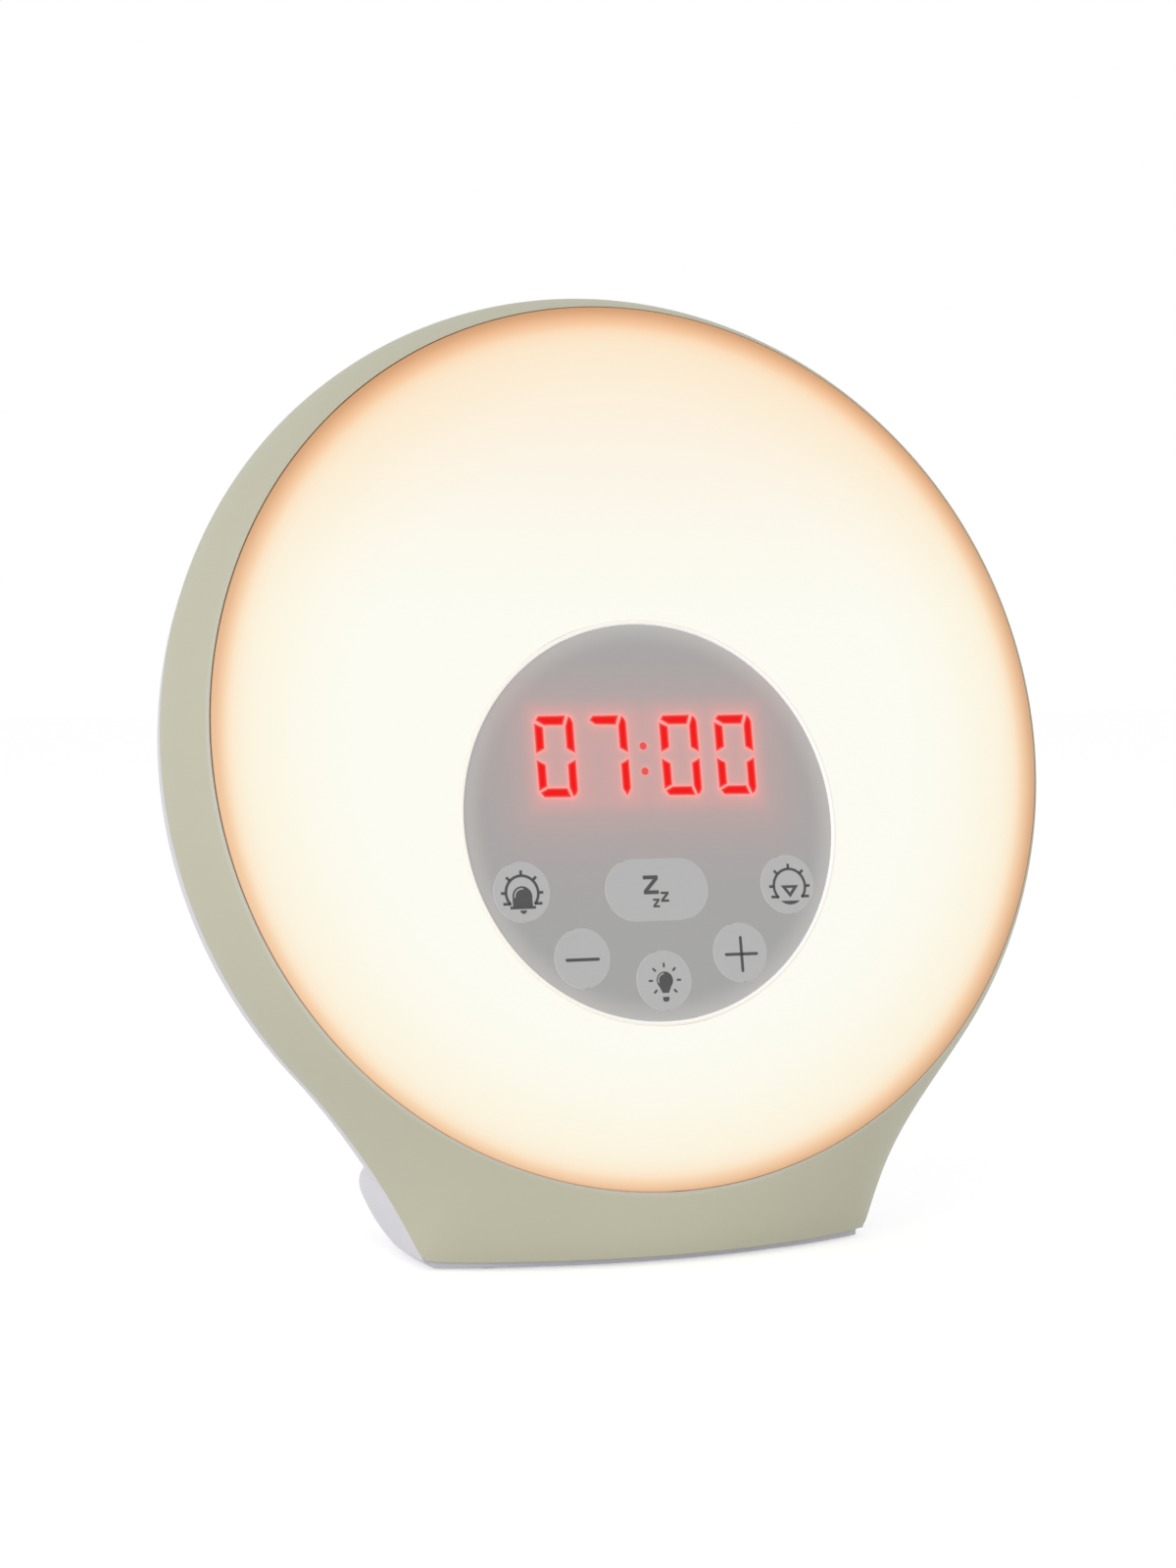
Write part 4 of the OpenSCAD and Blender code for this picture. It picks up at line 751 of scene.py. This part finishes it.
def plate_row(inset, z):
    """Ring of the base plate: a bowed front and a rounded back."""
    def row(s):
        half = PLATE_HALF - inset
        if s > 0.5:
            x = half * (2 * (s - 0.5) / 0.5 - 1)
            return Vector((x, CORNER_Y - bow(x, half, BASE_BOW - PLATE_IN - inset), z))
        x, y = plan_point(360 * s, half, FOOT_LEN - FOOT_TUCK - PLATE_BACK - inset)
        return Vector((x, CORNER_Y + y, z))
    return row


foot = skin(200, [lambda s: Vector((0, 0, SKIRT_Z))] + [foot_row(k) for k in FOOT_SHARES]
            + [lambda s: Vector((0, 0, FOOT_Z))])
piece("foot_shell", foot, white_abs, place=TABLE, nodes=["rear_foot"], sharp=50)

base = skin(240, [lambda s: Vector((0, 0, PLATE_LOW))] + [plate_row(*ring) for ring in PLATE_RINGS]
            + [lambda s: Vector((0, 0, PLATE_TOP))])
# Round holes for the pads, and screw wells of which the front two stay clear of the bowed edge
pads = [(31 * s, CORNER_Y + 3) for s in (-1, 1)] + [(24 * s, CORNER_Y + 28.5) for s in (-1, 1)]
front_y = CORNER_Y - bow(22, BASE_HALF, BASE_BOW) + WALL + 2.6
base_screws = [(s * x, y) for x, y in ((22, front_y), (20, CORNER_Y + 10), (12, CORNER_Y + 31))
               for s in (-1, 1)]
cuts = bmesh.new()
for x, y in pads:
    slab(cuts, disc(x, y, PAD_HOLE_R), -1, PAD_HOLE_TOP)
for x, y in base_screws:
    slab(cuts, disc(x, y, WELL_R), -1, BASE_SEAT)
piece("base_moulding", carve(base, cuts), base_abs_painted_shade, place=TABLE, nodes=["base_plate"],
      sharp=40)

# ---------------------------------------------------------------- diffuser and trim ring

# The disc: its hole, the start of its rounded edge, the round, its front and back, and its rim
HOLE_R, EDGE_IN, EDGE_ROUND, DISC_FRONT, DISC_BACK = 37.55, 81.3, 0.8, -0.2, -2.2
RIM = ((82.1, -9.2), (80.1, -9.2), (80.1, -2.4), (79.9, DISC_BACK))
# Section of the trim ring by radius from the panel's middle and depth
TRIM = [(36.68, -0.45), (36.71, -0.2), (36.82, -0.05), (37.0, 0), (37.25, -0.03), (37.42, -0.12),
        (37.5, -0.3), (37.5, -2.2), (39.5, -2.2), (39.5, -3.1), (36.68, -3.1)]


def diffuser_row(share, w):
    """Ring between the panel's hole, below the middle, and the flat part's rim."""
    def row(s):
        a = 2 * math.pi * s
        r = HOLE_R + share * (EDGE_IN - HOLE_R)
        return Vector((r * math.cos(a), -PANEL_DROP * (1 - share) + r * math.sin(a), w))
    return row


def round_ring(r, w):
    return lambda s: Vector((r * math.cos(2 * math.pi * s), r * math.sin(2 * math.pi * s), w))


# The disc's front edge is rounded, and its rim goes back to the reflector
rows = [diffuser_row(i / 14, DISC_FRONT) for i in range(15)]
for i in range(1, 10):
    a = math.radians(10 * i)
    rows.append(round_ring(EDGE_IN + EDGE_ROUND * math.sin(a),
                           DISC_FRONT - EDGE_ROUND + EDGE_ROUND * math.cos(a)))
rows += [round_ring(r, w) for r, w in RIM] + [diffuser_row(i / 4, DISC_BACK) for i in (3, 2, 1, 0)]
rows.append(diffuser_row(0, DISC_FRONT))
piece("opal_disc", skin(240, rows), opal, nodes=["diffuser"], sharp=40)
piece("trim_band", spun(TRIM, 180), trim_white, place=PANEL, nodes=["trim_ring"], sharp=50)

# ---------------------------------------------------------------- display

# Bars of one digit, 7.7 mm wide and 15 mm high, mitred flat at the left and steep at the right
BARS = {
    "top": [(-3.55, 6.66), (-2.95, 7.45), (2.4, 7.52), (1.76, 5.72), (-1.95, 5.72)],
    "upper_right": [(2.93, 7.43), (3.5, 6.98), (3.83, 6.2), (3.83, 0.58), (2.2, 1.45), (2.2, 5.54)],
    "lower_right": [(3.83, -0.58), (3.83, -6.25), (3.47, -7.05), (2.86, -7.43), (2.2, -5.7), (2.2, -1.45)],
    "bottom": [(-3.5, -6.55), (-2.03, -5.8), (1.76, -5.8), (2.46, -7.5), (-2.85, -7.45)],
    "lower_left": [(-3.83, -0.58), (-2.12, -1.5), (-2.12, -5.5), (-3.76, -6.3)],
    "upper_left": [(-3.83, 6.1), (-3.83, 0.58), (-2.12, 1.45), (-2.12, 5.36)],
    "stub": [(3.83, -0.58), (3.83, -6.0), (3.0, -7.4), (2.2, -6.0), (2.2, -1.45)],
    "flag": [(-3.45, 6.6), (-2.7, 7.45), (2.4, 7.52), (1.76, 5.72), (-2.3, 5.8)],
}
ZERO = ["top", "upper_right", "lower_right", "bottom", "lower_left", "upper_left"]
SEVEN = ["flag", "upper_right", "stub"]
READOUT = [(-17.95, ZERO), (-7.45, SEVEN), (6.8, ZERO), (17.95, ZERO)]
DOT_SPOTS, DOT_R = ((-0.57, 13.9), (-0.57, 9.2)), 0.75
BARS_BACK, BARS_FRONT = -0.53, -0.47
lit_bars = [[(x + at, y + RISE) for x, y in BARS[b]] for at, bars in READOUT for b in bars]
dots = [disc(x, y, DOT_R, 24) for x, y in DOT_SPOTS]


def glowing(shapes, step):
    """Thin slabs whose front faces carry two inner rings, so that their light can fade outwards."""
    bm = slabs(shapes, BARS_BACK, BARS_FRONT)
    core = bm.verts.layers.float.new("core")
    fronts = [face for face in bm.faces if face.normal.z > 0.5]
    for ring in (1, 2):
        bmesh.ops.inset_individual(bm, faces=fronts, thickness=step, use_even_offset=True)
        for vert in {vert for face in fronts for vert in face.verts}:
            vert[core] = ring / 2
    return bm


piece("digit_bars", glowing(lit_bars, 0.27), segment_red, place=PANEL)
piece("colon_pair", glowing(dots, 0.15), colon_red, place=PANEL)


def gap_to(shape, x, y):
    """Distance from a point to a convex shape's outline, zero inside it."""
    best, inside = 1e9, True
    turn = sum(a[0] * b[1] - b[0] * a[1] for a, b in zip(shape, shape[1:] + shape[:1]))
    for (ax, ay), (bx, by) in zip(shape, shape[1:] + shape[:1]):
        dx, dy = bx - ax, by - ay
        f = limited(((x - ax) * dx + (y - ay) * dy) / (dx * dx + dy * dy))
        best = min(best, math.hypot(x - ax - f * dx, y - ay - f * dy))
        inside = inside and (dx * (y - ay) - dy * (x - ax)) * turn >= 0
    return 0 if inside else best


# The panel's face over the display: a thin film whose tint and halo follow the lit bars. It's
# lost in the panel at its border
FILM_W, FILM_H, FILM_FADE, FILM_AT, FILM_T = 50, 23, 3.5, -0.49, 0.03
film = bmesh.new()
bmesh.ops.create_grid(film, x_segments=200, y_segments=92, size=0.5)
bmesh.ops.transform(film, verts=film.verts, matrix=Matrix.Translation((0, RISE, FILM_AT))
                    @ Matrix.Diagonal((FILM_W, FILM_H, 1, 1)))
tint, halo = film.verts.layers.float.new("tint"), film.verts.layers.float.new("halo")
centres = [(sum(x for x, y in b) / len(b), sum(y for x, y in b) / len(b), b) for b in lit_bars]
for vert in film.verts:
    x, y = vert.co.x, vert.co.y
    # Only bars with their middle within 8 mm are near enough to count
    gaps = sorted(gap_to(b, x, y) for cx, cy, b in centres if abs(cx - x) < 8 and abs(cy - y) < 8)
    near, second = (gaps + [9, 9])[:2]
    dot = max(0, min(math.hypot(x - dx, y - dy) for dx, dy in DOT_SPOTS) - DOT_R)
    border = limited(min(FILM_W / 2 - abs(x), FILM_H / 2 - abs(y - RISE)) / FILM_FADE)
    fade = border ** 2 * (3 - 2 * border)
    glow = math.exp(-near / 0.4) + math.exp(-second / 0.3)
    vert[halo] = fade * max(0.5 * glow, 0.25 * math.exp(-dot / 0.3))
    vert[tint] = fade * 0.8 * math.exp(-(near / 4) ** 2)
back = bmesh.ops.extrude_face_region(film, geom=film.faces[:], use_keep_orig=True)["geom"]
bmesh.ops.translate(film, verts=verts_of(back), vec=(0, 0, -FILM_T))
bmesh.ops.recalc_face_normals(film, faces=film.faces)
piece("display_film", film, panel_lit, place=PANEL)

# ---------------------------------------------------------------- signs on the keys


KEY_RING, KEY_STEP, SNOOZE_AT = 29.2, 32.5, (0, -12.6)
INK_BACK, INK_FRONT, LINE = -0.42, -0.37, 0.5


def key_spot(step):
    """Middle of a round key, so many steps to the right of the lowest one."""
    return toward(-90 + step * KEY_STEP, KEY_RING)


def sun(x, y, r):
    """Ring open at the bottom, with five ticks and a foot at each end."""
    shapes = [arc(x, y, r + 0.05, -42, 222, 48) + arc(x, y, r - 0.45, 222, -42, 48)]
    for angle in (0, 45, 90, 135, 180):
        shapes.append(bar(Vector((x, y)) + toward(angle) * (r - 0.1),
                          Vector((x, y)) + toward(angle) * (r + 0.77), LINE))
    for side in (-1, 1):
        shapes.append(bar((x + side * r * 0.68, y - 1.95), (x + side * r * 1.14, y - 1.95), LINE))
    return shapes


def zed(left, right, top, low, bar_t):
    """Outline of a Z between two sides and two heights."""
    lean = 1.4 * bar_t
    return [(left, top), (right, top), (right, top - bar_t), (left + lean, low + bar_t),
            (right, low + bar_t), (right, low), (left, low), (left, low + bar_t),
            (right - lean, top - bar_t), (left, top - bar_t)]


def pill(a, b, width):
    """A bar with round ends."""
    turn = math.degrees(math.atan2(b[1] - a[1], b[0] - a[0]))
    return arc(*b, width / 2, turn - 90, turn + 90, 10) + arc(*a, width / 2, turn + 90, turn + 270, 10)


# The bell and the bulb are cut into shapes without holes, with a gleam left open at the left
bell = [arc(0, -0.84, 1.9, 80, 185) + arc(0, -0.84, 1.58, 185, 80),
        arc(0, -0.84, 1.9, 80, 0) + [(1.9, -2.62), (-1.9, -2.62), (-1.9, -1.05), (-1.32, -0.95)]
        + arc(0, -0.84, 1.32, 184, 80),
        bar((-2.45, -2.8), (2.45, -2.8), LINE), arc(0.05, -3.3, 0.62, 180, 360)]
bulb = [arc(0.1, 0, 1.6, 95, 200) + arc(0.1, 0, 1.39, 200, 95),
        arc(0.1, 0, 1.6, 95, -42) + [(0.72, -2.28), (-0.52, -2.28)] + arc(0.1, 0, 1.6, 222, 200, 6)
        + arc(0.1, 0, 1.15, 200, 95),
        [(-0.52, -3.0), (0.72, -3.0), (0.7, -3.6), (0.45, -3.86), (-0.25, -3.86), (-0.5, -3.6)]]
for angle in range(-45, 226, 45):
    bulb.append(bar(toward(angle) * 2.38 + Vector((0.1, 0)), toward(angle) * 3.2 + Vector((0.1, 0)), 0.38))
# Under its sun, the sunset sign has an open arrowhead and a cap of ground
outer, inner = [(-1.42, -0.22), (2.17, -0.22), (0.37, -2.5)], [(-0.3, -0.7), (1.05, -0.7), (0.37, -1.6)]
sunset = sun(0.36, -0.37, 3.4) + [[outer[i - 1], outer[i], inner[i], inner[i - 1]] for i in (1, 2, 0)]
sunset.append(arc(0.355, -0.82, 2.99, 229.7, 310.3))
SIGNS = {
    "alarm": (key_spot(-2), sun(0, -0.15, 3.3) + bell),
    "minus": (key_spot(-1), [pill((-3.05, -0.25), (3.0, -0.25), 0.58)]),
    "light": (key_spot(0), bulb),
    "plus": (key_spot(1), [pill((-2.9, -0.35), (3.25, -0.35), 0.56), pill((0.2, 2.7), (0.2, -3.4), 0.56)]),
    "sunset": (key_spot(2), sunset),
    "snooze": (SNOOZE_AT, [zed(-2.7, 0.25, 2.6, -0.83, 0.7), zed(0.62, 2.17, -0.44, -2.32, 0.44),
                           zed(-1.02, 0.25, -1.68, -3.27, 0.37)]),
}
for name, ((x, y), shapes) in SIGNS.items():
    piece("sign_" + name, slabs(shapes, INK_BACK, INK_FRONT), sign_ink,
          place=PANEL @ Matrix.Translation((x, y, 0)), body="key_" + name)

# ---------------------------------------------------------------- screws


def screw_heads(height, length, seat, turn, spots):
    """Pan heads with a cross recess and a shank, driven in from behind or below, each turned
    a little further than the one before it."""
    dome = [(0, 0), (HEAD_R, 0), (HEAD_R, height * 0.45), (HEAD_R * 0.93, height * 0.75),
            (HEAD_R * 0.75, height * 0.94), (HEAD_R * 0.5, height), (0, height)]
    n, arm = 0.35, HEAD_R * 0.62  # half the width of the cross, and its reach
    cross = [(n, n), (n, arm), (-n, arm), (-n, n), (-arm, n), (-arm, -n),
             (-n, -n), (-n, -arm), (n, -arm), (n, -n), (arm, -n), (arm, n)]
    bm = carve(spun(dome, 40), slabs([cross], height * 0.3, height + 1))
    slab(bm, disc(0, 0, SHANK_R, 24), -length, 0.05)
    one = bm.verts[:] + bm.edges[:] + bm.faces[:]
    for i, (x, y) in enumerate(spots):
        copy = bmesh.ops.duplicate(bm, geom=one)["geom"]
        place = (Matrix.Translation((x, y, seat)) @ Matrix.Rotation(math.pi, 4, "X")
                 @ Matrix.Rotation(turn * i, 4, "Z"))
        bmesh.ops.transform(bm, matrix=place, verts=verts_of(copy))
    bmesh.ops.delete(bm, geom=verts_of(one), context="VERTS")
    bmesh.ops.recalc_face_normals(bm, faces=bm.faces)
    return bm


piece("cover_screw_heads", screw_heads(1.6, 7, COVER_SEAT, 0.4, screw_spots), zinc_steel,
      nodes=["cover_screws"], sharp=40)
piece("base_screw_heads", screw_heads(0.6, 6, BASE_SEAT, 0.7, base_screws), zinc_steel,
      place=TABLE, nodes=["base_screws"], sharp=40)

# ---------------------------------------------------------------- frame nodes that stay

FINISHES = {
    "foot_pads": pad_rubber, "speaker_gasket": pad_rubber, "reflector": reflector_white,
    "panel_housing": reflector_white, "control_panel": panel_grey, "switch_bodies": black_nylon,
    "chips": black_nylon, "inlet_socket": black_nylon, "control_board": board_green,
    "main_board": board_green, "display_case": case_grey, "lit_segments": segment_red,
    "dark_segments": segment_dark, "colon_dots": colon_red, "display_pins": tinned_pin,
    "inlet_pin": tinned_pin, "ring_board": board_white, "lamps": lamp_phosphor,
    "capacitors": sleeve_blue, "connectors": nylon_cream, "speaker_frame": frame_steel,
    "speaker_magnet": magnet_ferrite, "speaker_cone": cone_paper, "voice_coil": coil_copper,
    "ribbon_cable": ribbon_grey, "lamp_wires": wire_red, "speaker_wires": wire_black,
}
for name in SIGNS:
    FINISHES["key_" + name] = key_satin
    FINISHES["plunger_" + name] = black_nylon
# What the table doesn't name is a set of screws
for name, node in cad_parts.items():
    if not node.hide_render:
        finish = FINISHES.get(name, zinc_steel)
        if len(node.data.materials):
            for i in range(len(node.data.materials)):
                node.data.materials[i] = finish
        else:
            node.data.materials.append(finish)
